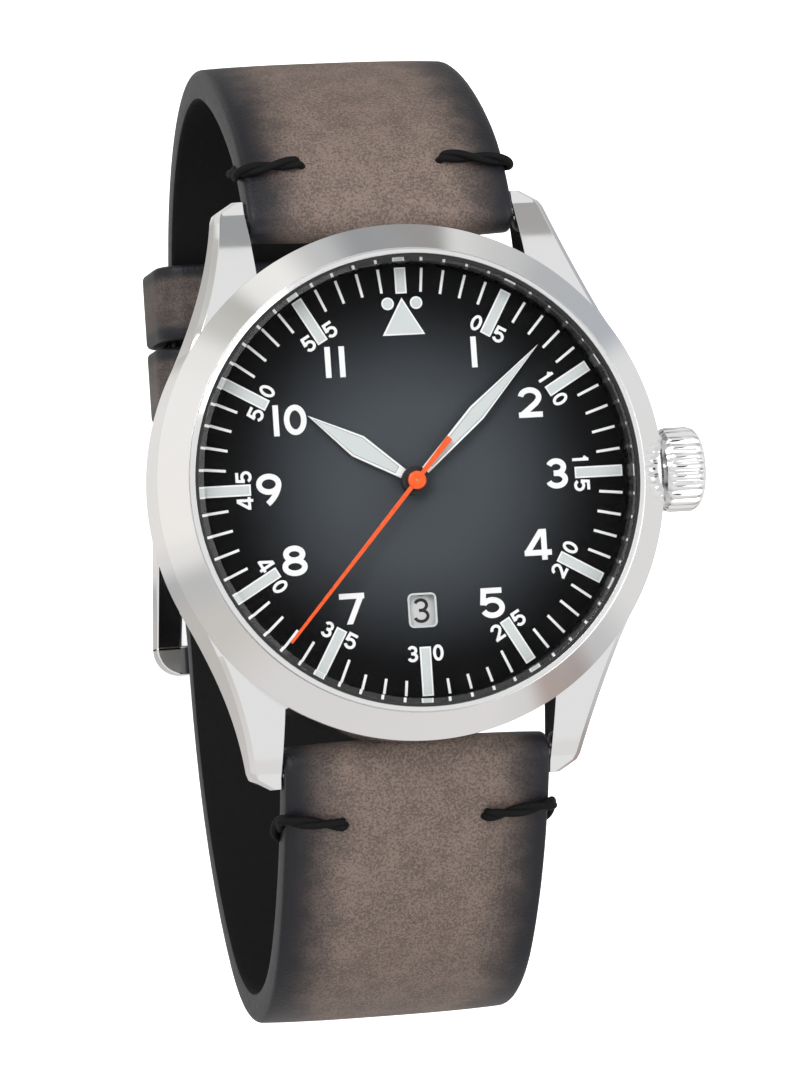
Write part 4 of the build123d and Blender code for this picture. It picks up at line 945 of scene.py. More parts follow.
def bars_tree() -> bpy.types.NodeTree:
    """Geometry tree that sets bars of one size round a circle.

    Its bars are numbered clockwise from 12. Those whose number is a multiple of
    Skip are left out, and so are those on the wrong side of Spread from Middle.
    """
    found = bpy.data.node_groups.get("Ring of bars")
    if found:
        return found
    sizes = ("Inner", "Outer", "Width", "Base", "Top", "Skip", "Middle", "Spread", "Side")
    inputs = {"Geometry": "Geometry", "Count": "Int", **dict.fromkeys(sizes, "Float"), "Finish": "Material"}
    tree = new_tree("Ring of bars", "Geometry", inputs, {"Geometry": "Geometry"})
    given = tree.node("NodeGroupInput").outputs
    number = tree.out("GeometryNodeInputIndex")
    turn = tree.math("DIVIDE", tree.math("MULTIPLY", number, FULL_TURN), given["Count"])
    middle = tree.math("MULTIPLY", tree.math("ADD", given["Inner"], given["Outer"]), 0.5)
    level = tree.math("MULTIPLY", tree.math("ADD", given["Base"], given["Top"]), 0.5)
    across = tree.math("MULTIPLY", tree.math("SINE", turn), middle)
    along = tree.math("MULTIPLY", tree.math("COSINE", turn), middle)
    place = tree.combine(across, along, level)
    points = tree.out("GeometryNodePoints", {"Count": given["Count"], "Position": place})
    off = tree.math("ABSOLUTE", tree.math("SUBTRACT", number, given["Middle"]))
    beyond = tree.math("MULTIPLY", tree.math("SUBTRACT", off, given["Spread"]), given["Side"])
    near_ok = tree.math("GREATER_THAN", beyond, 0.0)
    skip_ok = tree.math("GREATER_THAN", tree.math("MODULO", number, given["Skip"]), 0.5)
    chosen = tree.math("MULTIPLY", near_ok, skip_ok)
    length = tree.math("SUBTRACT", given["Outer"], given["Inner"])
    size = tree.combine(given["Width"], length, tree.math("SUBTRACT", given["Top"], given["Base"]))
    block = tree.out("GeometryNodeMeshCube", {"Size": size})
    tilt = tree.combine(z=tree.math("MULTIPLY", turn, -1.0))
    inputs = {"Points": points, "Selection": chosen, "Instance": block, "Rotation": tilt}
    placed = tree.out("GeometryNodeInstanceOnPoints", inputs)
    real = tree.out("GeometryNodeRealizeInstances", {0: placed})
    painted = tree.out("GeometryNodeSetMaterial", {"Geometry": real, "Material": given["Finish"]})
    tree.node("NodeGroupOutput", {0: painted})
    return tree.tree


def thread_tree() -> bpy.types.NodeTree:
    """Geometry tree that twists two strands of thread round a path."""
    found = bpy.data.node_groups.get("Twisted thread")
    if found:
        return found
    sizes = ("Strand", "Offset", "Pitch", "Step")
    inputs = {"Geometry": "Geometry", **dict.fromkeys(sizes, "Float"), "Finish": "Material"}
    tree = new_tree("Twisted thread", "Geometry", inputs, {"Geometry": "Geometry"})
    given = tree.node("NodeGroupInput").outputs
    path = tree.out("GeometryNodeMeshToCurve", {0: given["Geometry"]})
    even = tree.out("GeometryNodeResampleCurve", {"Curve": path, "Length": given["Step"]}, mode="LENGTH")
    strands = []
    length = tree.node("GeometryNodeSplineParameter").outputs["Length"]
    normal = tree.out("GeometryNodeInputNormal")
    tangent = tree.out("GeometryNodeInputTangent")
    for phase in (0.0, pi):
        angle = tree.math("MULTIPLY_ADD", tree.math("DIVIDE", length, given["Pitch"]), FULL_TURN, phase)
        inputs = {"Vector": normal, "Axis": tangent, "Angle": angle}
        turned = tree.out("ShaderNodeVectorRotate", inputs, rotation_type="AXIS_ANGLE")
        inputs = {0: turned, "Scale": given["Offset"]}
        shift = tree.out("ShaderNodeVectorMath", inputs, operation="SCALE")
        inputs = {"Geometry": even, "Offset": shift}
        strands.append(tree.out("GeometryNodeSetPosition", inputs))
    both = tree.node("GeometryNodeJoinGeometry")
    for strand in strands:
        tree.link(strand, both.inputs[0])
    ring = tree.out("GeometryNodeCurvePrimitiveCircle", {"Resolution": 14})
    scale = tree.combine(given["Strand"], given["Strand"], 1.0)
    size = tree.out("GeometryNodeTransform", {"Geometry": ring, "Scale": scale})
    inputs = {"Curve": both.outputs[0], "Profile Curve": size, "Fill Caps": True}
    tube = tree.out("GeometryNodeCurveToMesh", inputs)
    real = tree.out("GeometryNodeRealizeInstances", {0: tube})
    painted = tree.out("GeometryNodeSetMaterial", {"Geometry": real, "Material": given["Finish"]})
    tree.node("NodeGroupOutput", {0: painted})
    return tree.tree


def grown(carrier: Piece, group: bpy.types.NodeTree, inputs: dict[str, object]) -> Piece:
    """Run a geometry tree on an object and keep the mesh that comes out.

    Args:
        carrier: object that the tree starts from.
        group: the geometry tree.
        inputs: values of the tree's inputs, by name.

    Returns:
        A plain mesh object in the carrier's place.
    """
    modifier = carrier.modifiers.new("grown", "NODES")
    modifier.node_group = group
    for item in group.interface.items_tree:
        if item.in_out == "INPUT" and item.name in inputs:
            modifier[item.identifier] = inputs[item.name]
    return plain_mesh(carrier)


@dataclass(frozen=True)
class Stroke:
    """One line of a digit, drawn in units of the digit's height."""

    points: tuple[Point, ...]
    closed: bool = False
    level_ends: bool = False


@dataclass(frozen=True)
class Lettering:
    """Size of printed digits and the levels that they are raised between."""

    height: float
    line: float
    base: float
    top: float
    wide: float = 1.0


def arc(centre: Point, reach: Point, start: float, end: float, steps: int = 24) -> tuple[Point, ...]:
    """Points of an upright elliptic arc, with its angles in degrees."""
    turns = (radians(start + (end - start) * step / steps) for step in range(steps + 1))
    return tuple((centre[0] + reach[0] * cos(turn), centre[1] + reach[1] * sin(turn)) for turn in turns)


def bend(start: Point, pull: Point, end: Point, steps: int = 16) -> tuple[Point, ...]:
    """Points of a quadratic curve."""
    found = []
    for step in range(steps + 1):
        t = step / steps
        weights = ((1 - t) ** 2, 2 * t * (1 - t), t * t)
        found.append(tuple(sum(w * p[axis] for w, p in zip(weights, (start, pull, end))) for axis in (0, 1)))
    return tuple(found)


class Digits:
    """Plain digits of constant line width, centred and one unit high.

    The strokes run along the middle of each line, for lines about a fifth of
    the height wide, so the outlines touch the full height.
    """

    half = 0.32
    edge = 0.4
    longest_mitre = 0.35
    layer_step = 0.002 * MM
    usual_width = 0.82
    shapes: dict[str, tuple[Stroke, ...]] = {
        "0": (Stroke(arc((0, 0), (0.28, edge), 0, 360)[:-1], True),),
        "1": (Stroke(((0, -0.5), (0, 0.5))),),
        "2": (
            Stroke(arc((0, 0.17), (0.3, 0.23), 172, -38) + bend((0.2, -0.02), (-0.02, -0.2), (-0.28, -0.39))),
            Stroke(((-0.39, -0.4), (0.4, -0.4))),
        ),
        "3": (
            Stroke(arc((-0.01, 0.205), (0.245, 0.195), 160, -78) + ((-0.1, 0.01),)),
            Stroke(((-0.1, 0.01),) + arc((-0.01, -0.195), (0.28, 0.205), 80, -162)),
        ),
        "4": (
            Stroke(((0.2, -0.5), (0.2, 0.5))),
            Stroke(((-0.46, -0.26), (0.44, -0.26))),
            Stroke(((0.16, 0.5), (-0.35, -0.22)), level_ends=True),
        ),
        "5": (
            Stroke(((0.33, 0.4), (-0.27, 0.4), (-0.31, -0.06))),
            Stroke(arc((0.0, -0.15), (half, 0.25), 150, -155)),
        ),
        "6": (
            Stroke(arc((0, -0.15), (half, 0.25), 0, 360)[:-1], True),
            Stroke(bend((-half, -0.14), (-0.28, 0.2), (0.06, 0.48))),
        ),
        "7": (
            Stroke(((-0.42, 0.4), (0.4, 0.4))),
            Stroke(((0.3, 0.42), (-0.12, -0.5)), level_ends=True),
        ),
        "8": (
            Stroke(arc((0, 0.21), (0.27, 0.19), 0, 360)[:-1], True),
            Stroke(arc((0, -0.19), (half, 0.21), 0, 360)[:-1], True),
        ),
        "9": (
            Stroke(arc((0, 0.15), (half, 0.25), 0, 360)[:-1], True),
            Stroke(bend((half, 0.14), (0.28, -0.2), (-0.06, -0.48))),
        ),
    }
    flag = Stroke(((0.02, 0.42), (-0.2, 0.2)))
    widths: dict[str, float] = {"1": 0.465, "0": 0.79}

    @classmethod
    def ribbon(cls, points: Sequence[Point], closed: bool, half: float) -> tuple[list[Point], list[Point]]:
        """Left and right borders of a line, mitred at its corners."""
        left: list[Point] = []
        right: list[Point] = []
        count = len(points)
        for number, point in enumerate(points):
            before = points[(number - 1) % count] if closed or number else None
            after = points[(number + 1) % count] if closed or number + 1 < count else None
            ways = []
            for first, second in ((before, point), (point, after)):
                if first is not None and second is not None:
                    run = hypot(second[0] - first[0], second[1] - first[1])
                    if run > NO_LENGTH:
                        ways.append(((second[0] - first[0]) / run, (second[1] - first[1]) / run))
            way_x = sum(way[0] for way in ways)
            way_y = sum(way[1] for way in ways)
            size = hypot(way_x, way_y)
            way_x, way_y = way_x / size, way_y / size
            reach = half / max(cls.longest_mitre, way_x * ways[0][0] + way_y * ways[0][1])
            left.append((point[0] - way_y * reach, point[1] + way_x * reach))
            right.append((point[0] + way_y * reach, point[1] - way_x * reach))
        return left, right

    @staticmethod
    def level_line(points: Sequence[Point], half: float) -> tuple[list[Point], list[Point]]:
        """Borders of a slanting line whose ends are cut level."""
        (x, y), (end_x, end_y) = points
        reach = half * hypot(end_x - x, end_y - y) / abs(end_y - y)
        left = [(place - reach, level) for place, level in points]
        right = [(place + reach, level) for place, level in points]
        return left, right

    @classmethod
    def draw(cls, text: str, place: Point, turn: float, style: Lettering) -> list[Piece]:
        """Make the strokes of a number.

        Args:
            text: digits to draw.
            place: middle of the number, in metres.
            turn: angle of the number in radians, anticlockwise.
            style: size of its digits; narrow ones get a flag on the 1.

        Returns:
            One mesh object for each stroke.
        """
        pitch = {digit: style.wide * cls.widths.get(digit, cls.usual_width) for digit in cls.shapes}
        half = style.line / style.height / 2
        start = -sum(pitch[digit] for digit in text) / 2
        made = []
        for digit in text:
            middle = start + pitch[digit] / 2
            start += pitch[digit]
            strokes = cls.shapes[digit]
            if digit == "1" and style.wide < 1.0:
                strokes = (*strokes, cls.flag)
            for layer, stroke in enumerate(strokes):
                points = tuple((x * style.wide, y) for x, y in stroke.points)
                if stroke.level_ends:
                    lines = cls.level_line(points, half)
                else:
                    lines = cls.ribbon(points, stroke.closed, half)
                left, right = (cls.placed(line, middle, place, turn, style.height) for line in lines)
                top = style.top + layer * cls.layer_step
                made.append(band("stroke", left, right, style.base, top, stroke.closed))
        return made

    @staticmethod
    def placed(line: Sequence[Point], middle: float, place: Point, turn: float, height: float) -> list[Point]:
        """Set one border of a stroke at its place on the dial."""
        found = []
        for x, y in line:
            across, along = (x + middle) * height, y * height
            new_x = place[0] + across * cos(turn) - along * sin(turn)
            new_y = place[1] + across * sin(turn) + along * cos(turn)
            found.append((new_x, new_y))
        return found


def rounded(width: float, height: float, corner: float, middle: Point, steps: int = 6) -> list[Point]:
    """Outline of a rectangle with rounded corners."""
    found = []
    for turn, (side_x, side_y) in enumerate(((1, 1), (-1, 1), (-1, -1), (1, -1))):
        centre_x = middle[0] + side_x * (width / 2 - corner)
        centre_y = middle[1] + side_y * (height / 2 - corner)
        for step in range(steps + 1):
            angle = (turn + step / steps) * pi / 2
            found.append((centre_x + corner * cos(angle), centre_y + corner * sin(angle)))
    return found


def band(
    name: str, left: Sequence[Point], right: Sequence[Point], low: float, high: float, closed: bool = True,
) -> Piece:
    """Raise the flat band between two lines with equally many points.

    Args:
        name: name of the object.
        left: points of one line.
        right: points of the other line.
        low: height of the band's underside.
        high: height of its face.
        closed: whether the band runs back to its start.

    Returns:
        The band's closed mesh.
    """
    count = len(left)
    points = [(x, y, z) for z in (low, high) for line in (left, right) for x, y in line]
    faces = []
    for number in range(count if closed else count - 1):
        after = (number + 1) % count
        low_left, low_right, high_left, high_right = (line * count for line in range(4))
        faces.append((high_left + number, high_right + number, high_right + after, high_left + after))
        faces.append((low_left + after, low_right + after, low_right + number, low_left + number))
        faces.append((low_left + number, high_left + number, high_left + after, low_left + after))
        faces.append((low_right + after, high_right + after, high_right + number, low_right + number))
    if not closed:
        for number in (0, count - 1):
            faces.append((number, count + number, 3 * count + number, 2 * count + number))
    made = solid(name, points, faces)
    tidy_mesh(made)
    return made


def shrunk(outline: Sequence[Point], inset: float) -> list[Point]:
    """Outline moved inwards by a distance, with its corners mitred."""
    area = sum(a[0] * b[1] - b[0] * a[1] for a, b in zip(outline, [*outline[1:], outline[0]]))
    left, right = Digits.ribbon(tuple(outline), True, inset)
    return left if area > 0 else right


@dataclass
class Dial:
    """Dial with its prints, window and date disc.

    Rises are heights over the dial, and radii are distances from the hands.
    """

    levels: Levels
    radius: float = 17.4 * MM
    thickness: float = 0.3 * MM
    hole: float = 1.0 * MM
    sunk: float = 0.02 * MM
    frame_rise: float = 0.06 * MM
    fill_rise: float = 0.08 * MM
    marker_inner: float = 13.08 * MM
    marker_outer: float = 16.96 * MM
    marker_width: float = 0.9 * MM
    marker_rim: float = 0.12 * MM
    twelve_inner: float = 14.9 * MM
    triangle_half: float = 1.71 * MM
    triangle_foot: float = 11.6 * MM
    triangle_tip: float = 14.57 * MM
    dot_place: Point = (1.15 * MM, 14.12 * MM)
    dot_radius: float = 0.5 * MM
    tick_inner: float = 15.05 * MM
    tick_width: float = 0.21 * MM
    tick_rise: float = 0.03 * MM
    short_tick: float = 1.2 * MM
    short_spread: float = 3.5
    numeral_height: float = 2.45 * MM
    numeral_line: float = 0.44 * MM
    numeral_rise: float = 0.05 * MM
    minute_height: float = 1.32 * MM
    minute_line: float = 0.23 * MM
    minute_rise: float = 0.04 * MM
    minute_wide: float = 0.84
    minute_shift: Point = (0.58 * MM, 0.52 * MM)
    window_middle: Point = (0.0, -10.2 * MM)
    window_size: Point = (2.27 * MM, 2.68 * MM)
    window_corner: float = 0.4 * MM
    window_rim: Point = (0.03 * MM, -0.13 * MM)
    window_corners: Point = (0.45 * MM, 0.32 * MM)
    window_levels: Point = (-0.1 * MM, 0.05 * MM)
    window_edge: float = 0.03 * MM
    shown_day: int = 3
    days: int = 31
    date_line: float = 0.25 * MM
    date_rise: float = 0.012 * MM
    one_digit: Point = (2.12 * MM, 0.9)
    two_digits: Point = (1.8 * MM, 0.66)
    hours: tuple[tuple[str, float, float], ...] = (
        ("1", 5.55, 9.99),
        ("2", 9.82, 5.76),
        ("3", 11.6, 0.01),
        ("4", 9.68, -5.55),
        ("5", 5.64, -9.95),
        ("7", -5.6, -9.75),
        ("8", -9.97, -5.74),
        ("9", -11.63, 0.01),
        ("10", -9.75, 5.33),
        ("11", -5.69, 9.72),
    )

    def build(self) -> None:
        """Build the dial's pieces in order."""
        self.plate()
        self.markers()
        self.numerals()
        self.date()

    def plate(self) -> None:
        """Make the dial plate with its date window."""
        top = self.levels.dial
        foot = top - self.thickness
        profile = ((self.hole, foot), (self.radius, foot), (self.radius, top), (self.hole, top))
        window = rounded(*self.window_size, self.window_corner, self.window_middle)
        cutter = prism("window_cutter", window, top - self.hole, top + self.hole)
        piece = cut_out(lathe("dial_plate", profile, 128), cutter)
        smooth(piece)
        settle(piece, DIAL, "case", "dial")

    def bars(self, name: str, finish: Finish, **sizes: float) -> Piece:
        """Make a ring of bars that lies flat on the dial.

        Args:
            name: name of the mesh.
            finish: what the bars are made of.
            **sizes: inputs of the tree that differ from the markers' own.

        Returns:
            The bars as one mesh.
        """
        values: dict[str, object] = {
            "Count": 12,
            "Inner": self.marker_inner,
            "Outer": self.marker_outer,
            "Width": self.marker_width,
            "Base": self.levels.dial - self.sunk,
            "Top": self.levels.dial + self.frame_rise,
            "Skip": 99.0,
            "Middle": 0.0,
            "Spread": 0.5,
            "Side": 1.0,
            "Finish": finish.material(),
        }
        values.update({key.capitalize(): value for key, value in sizes.items()})
        return grown(solid(name, (), ()), bars_tree(), values)

    def merge(self, name: str, parts: Sequence[Piece], finish: Finish, *nodes: str) -> None:
        """Join prints of one finish and settle them on the dial."""
        piece = join(name, parts)
        piece.data.materials.clear()
        settle(piece, finish, "case", *nodes)

    def markers(self) -> None:
        """Make the framed bars, the triangle with its dots and the minute track."""
        top = self.levels.dial
        rim = self.marker_rim
        half, inner, outer = self.marker_width / 2, self.twelve_inner, self.marker_outer
        side, foot = self.triangle_half, self.triangle_foot
        shapes = (
            ((-side, foot), (side, foot), (0.0, self.triangle_tip)),
            ((-half, inner), (half, inner), (half, outer), (-half, outer)),
        )
        frames = [prism("frame", shape, top - self.sunk, top + self.frame_rise) for shape in shapes]
        frames += [self.dot(side, self.dot_radius, self.frame_rise) for side in (-1, 1)]
        self.merge("marker_frames", [self.bars("frames", WHITE), *frames], WHITE, "hour_markers")
        fills = [prism("fill", shrunk(shape, rim), top, top + self.fill_rise) for shape in shapes]
        fills += [self.dot(side, self.dot_radius - rim, self.fill_rise) for side in (-1, 1)]
        bars = self.bars(
            "fills", LUME, inner=self.marker_inner + rim, outer=outer - rim,
            width=self.marker_width - 2 * rim, top=top + self.fill_rise,
        )
        self.merge("marker_fills", [bars, *fills], LUME)
        ticks = [
            self.bars(
                name, WHITE, count=60, inner=start, width=self.tick_width, top=top + self.tick_rise,
                skip=5.0, middle=30.0, spread=self.short_spread, side=side,
            )
            for name, start, side in (
                ("long_ticks", self.tick_inner, 1.0),
                ("short_ticks", outer - self.short_tick, -1.0),
            )
        ]
        self.merge("minute_track", ticks, WHITE)

    def dot(self, side: int, radius: float, rise: float) -> Piece:
        """Make one round spot beside the triangle's tip."""
        middle = (side * self.dot_place[0], self.dot_place[1])
        outline = arc(middle, (radius, radius), 0, 360, 32)[:-1]
        return prism("dot", outline, self.levels.dial - self.sunk, self.levels.dial + rise)

    def numerals(self) -> None:
        """Print the hours and the numbers of the minutes."""
        top = self.levels.dial
        base = top - self.sunk
        style = Lettering(self.numeral_height, self.numeral_line, base, top + self.numeral_rise)
        hours = []
        for text, x, y in self.hours:
            hours += Digits.draw(text, (x * MM, y * MM), 0.0, style)
        settle(join("hour_numerals", hours), WHITE, "case")
        high = top + self.minute_rise
        style = Lettering(self.minute_height, self.minute_line, base, high, self.minute_wide)
        reach = self.marker_width / 2 + self.minute_shift[0]
        radius = self.marker_inner + self.minute_shift[1]
        minutes = []
        for minute in range(5, 60, 5):
            turn = -FULL_TURN * minute / 60
            spin = turn if minute <= 15 or minute >= 45 else turn + pi
            for side, digit in zip((-1, 1), f"{minute:02d}"):
                x = side * reach * cos(spin) - sin(turn) * radius
                y = side * reach * sin(spin) + cos(turn) * radius
                minutes += Digits.draw(digit, (x, y), spin, style)
        settle(join("minute_numerals", minutes), WHITE, "case")

    def date(self) -> None:
        """Make the window's bevelled frame and the numbers of the days."""
        top = self.levels.dial
        width, height = self.window_size
        outer, inner = (
            rounded(width + 2 * grow, height + 2 * grow, corner, self.window_middle)
            for grow, corner in zip(self.window_rim, self.window_corners)
        )
        low, high = self.window_levels
        piece = band("window_frame", outer, inner, top + low, top + high)
        round_edges(piece, self.window_edge)
        settle(piece, LUME, "case")
        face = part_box("date_ring")[1].z
        radius = -self.window_middle[1]
        numbers = []
        for day in range(1, self.days + 1):
            turn = -FULL_TURN * (day - self.shown_day) / self.days
            place = (sin(turn) * radius, -cos(turn) * radius)
            height, wide = self.two_digits if day > 9 else self.one_digit
            style = Lettering(height, self.date_line, face - self.sunk, face + self.date_rise, wide)
            numbers += Digits.draw(str(day), place, turn, style)
        settle(join("date_numbers", numbers), BLACK_PRINT, "date")


@dataclass
class Hands:
    """The three hands with their pale fill; the needle's outlines are in millimetres."""

    levels: Levels
    hour_angle: float = 304.0
    minute_angle: float = 45.9
    second_angle: float = 221.7
    thickness: float = 0.2 * MM
    root: float = 0.26 * MM
    fill_start: float = 1.5 * MM
    rim: float = 0.17 * MM
    dark_line: float = 0.035 * MM
    line_rise: float = 0.004 * MM
    fill_rise: float = 0.012 * MM
    hub_radius: float = 1.15 * MM
    hub_rise: float = 0.015 * MM
    edge: float = 0.03 * MM
    hub_edge: float = 0.04 * MM
    needle_gap: float = 1.1 * MM
    needle_half: tuple[Point, ...] = ((0.245, -4.3), (0.17, -0.6), (0.175, 0.6), (0.115, 16.35))
    needle_hub: tuple[Point, ...] = ((0.12, 0.0), (0.73, 0.0), (0.73, 0.22), (0.62, 0.3), (0.12, 0.3))

    def build(self) -> None:
        """Build the hands from the dial up."""
        self.lozenge("hour", self.hour_angle, 0.3 * MM, 9.95 * MM, (0.93 * MM, 5.3 * MM))
        self.lozenge("minute", self.minute_angle, 0.7 * MM, 14.75 * MM, (0.71 * MM, 7.36 * MM))
        self.needle()

    def turned(self, clock: float) -> Matrix:
        """Frame whose +Y points at an angle clockwise from 12."""
        return Matrix.Rotation(-radians(clock), 4, "Z")

    def lozenge(self, body: str, clock: float, gap: float, tip: float, widest: Point) -> None:
        """Make one lozenge hand: hub, border, dark line and fill.

        Args:
            body: CAD body of the hand.
            clock: angle from 12, in degrees.
            gap: room between dial and hand.
            tip: reach of the point.
            widest: half width and reach of the broadest place.
        """
        base = self.levels.dial + gap
        top = base + self.thickness
        frame = self.turned(clock)
        low, high = base + self.hub_rise, top + self.hub_rise
        profile = ((0.0, low), (self.hub_radius, low), (self.hub_radius, high), (0.0, high))
        piece = lathe(f"{body}_hand_hub", profile, 64)
        round_edges(piece, self.hub_edge)
        smooth(piece)
        settle(piece, BLACK_PRINT, body)
        half, reach = widest
        corners = [(half, reach), (0.0, tip), (-half, reach)]
        outline = [(-self.root, 0.0), (self.root, 0.0), *corners]
        piece = prism(f"{body}_hand_frame", outline, base, top, frame)
        round_edges(piece, self.edge)
        settle(piece, WHITE, body, f"{body}_hand")
        side = self.root + (half - self.root) * self.fill_start / reach
        window = shrunk([(-side, self.fill_start), (side, self.fill_start), *corners], self.rim)
        middle = base + self.thickness / 2
        piece = prism(f"{body}_hand_line", window, middle, top + self.line_rise, frame)
        settle(piece, REHAUT, body)
        window = shrunk(window, self.dark_line)
        piece = prism(f"{body}_hand_fill", window, middle, top + self.fill_rise, frame)
        settle(piece, LUME, body)

    def needle(self) -> None:
        """Make the seconds hand with its tail and hub."""
        base = self.levels.dial + self.needle_gap
        right = [(x * MM, y * MM) for x, y in self.needle_half]
        left = [(-x, y) for x, y in reversed(right)]
        outline = [left[-1], *right, *left[:-1]]
        blade = prism("blade", outline, base, base + self.thickness, self.turned(self.second_angle))
        hub = lathe("hub", [(x * MM, base + z * MM) for x, z in self.needle_hub], 64)
        piece = join("second_hand_piece", [blade, hub])
        round_edges(piece, self.edge)
        smooth(piece)
        settle(piece, ORANGE, "seconds", "second_hand")


@dataclass
class Crown:
    """Fluted and domed winding crown.

    A station is a distance along the stem and a radius, in millimetres, and
    the share of the flutes' depth there.
    """

    levels: Levels
    flutes: int = 24
    flute_depth: float = 0.3 * MM
    flute_steps: int = 10
    stem_drop: float = 2.6 * MM
    start: float = 20.75 * MM
    stations: tuple[Place, ...] = (
        (0.0, 2.5, 0.0), (0.0, 3.0, 0.0), (0.35, 3.32, 0.35), (0.7, 3.4, 1.0), (2.45, 3.4, 1.0),
        (2.85, 3.22, 0.75), (3.1, 2.95, 0.25), (3.25, 2.6, 0.0), (3.36, 2.0, 0.0), (3.42, 1.2, 0.0),
        (3.45, 0.4, 0.0),
    )

    def build(self) -> None:
        """Make the crown about the axis of the stem."""
        steps = self.flutes * self.flute_steps
        axis = self.levels.dial - self.stem_drop
        points = []
        for along, radius, depth in self.stations:
            for step in range(steps):
                turn = FULL_TURN * step / steps
                wave = (0.5 - 0.5 * cos(turn * self.flutes)) ** 2
                reach = radius * MM - self.flute_depth * depth * wave
                points.append((self.start + along * MM, reach * cos(turn), axis + reach * sin(turn)))
        rings = len(self.stations)
        faces = ring_faces(rings, steps)
        faces.append(tuple(range(steps)))
        faces.append(tuple(range((rings - 1) * steps, rings * steps)))
        piece = solid("crown_piece", points, faces)
        tidy_mesh(piece)
        smooth(piece, 40.0)
        settle(piece, POLISHED, "crown", "crown")


@dataclass(frozen=True)
class Side:
    """Side view of one strap half: its start, its bends and its straight end.

    Lengths are in millimetres; the view's first coordinate points away from
    the hands on that half, and its second one up. A bend is a radius and an
    angle.
    """

    name: str
    outwards: int
    heading: float
    bends: tuple[Point, ...]
    end: float
    tip: bool


@dataclass(frozen=True)
class Loop:
    """One keeper: its reach along the strap and the room above the strap's ends."""

    node: str
    body: str
    start: float
    end: float
    room: float


class Path:
    """Line through the strap's outer face, with its direction at each point."""

    small_bend = 5.0
    small_turn = 10.0
    large_turn = 2.0
    straight_step = 0.6

    def __init__(
        self, start: Point, heading: float, bends: Sequence[Point], end: float | None = None,
    ) -> None:
        """Lay out the bends one after another, then a straight run to the end."""
        self.points: list[Point] = [start]
        self.angles: list[float] = [heading]
        place = start
        angle = heading
        for radius, turn in bends:
            side = 1 if turn > 0 else -1
            centre = self.beside(place, radius * side, angle - 90)
            step_turn = self.large_turn if radius > self.small_bend else self.small_turn
            steps = max(4, int(abs(turn) / step_turn))
            for step in range(1, steps + 1):
                now = angle - turn * step / steps
                self.points.append(self.beside(centre, radius, now + side * 90))
                self.angles.append(now)
            place = self.points[-1]
            angle -= turn
        if end is not None:
            steps = max(2, int(abs(end - place[0]) / self.straight_step))
            way = (end - place[0]) / steps
            for step in range(1, steps + 1):
                self.points.append((place[0] + way * step, place[1]))
                self.angles.append(angle)

    @staticmethod
    def way(angle: float) -> Point:
        """Direction at an angle in degrees."""
        return (cos(radians(angle)), sin(radians(angle)))

    @classmethod
    def beside(cls, point: Point, distance: float, angle: float) -> Point:
        """Point at a distance and angle from another."""
        x, y = cls.way(angle)
        return (point[0] + distance * x, point[1] + distance * y)


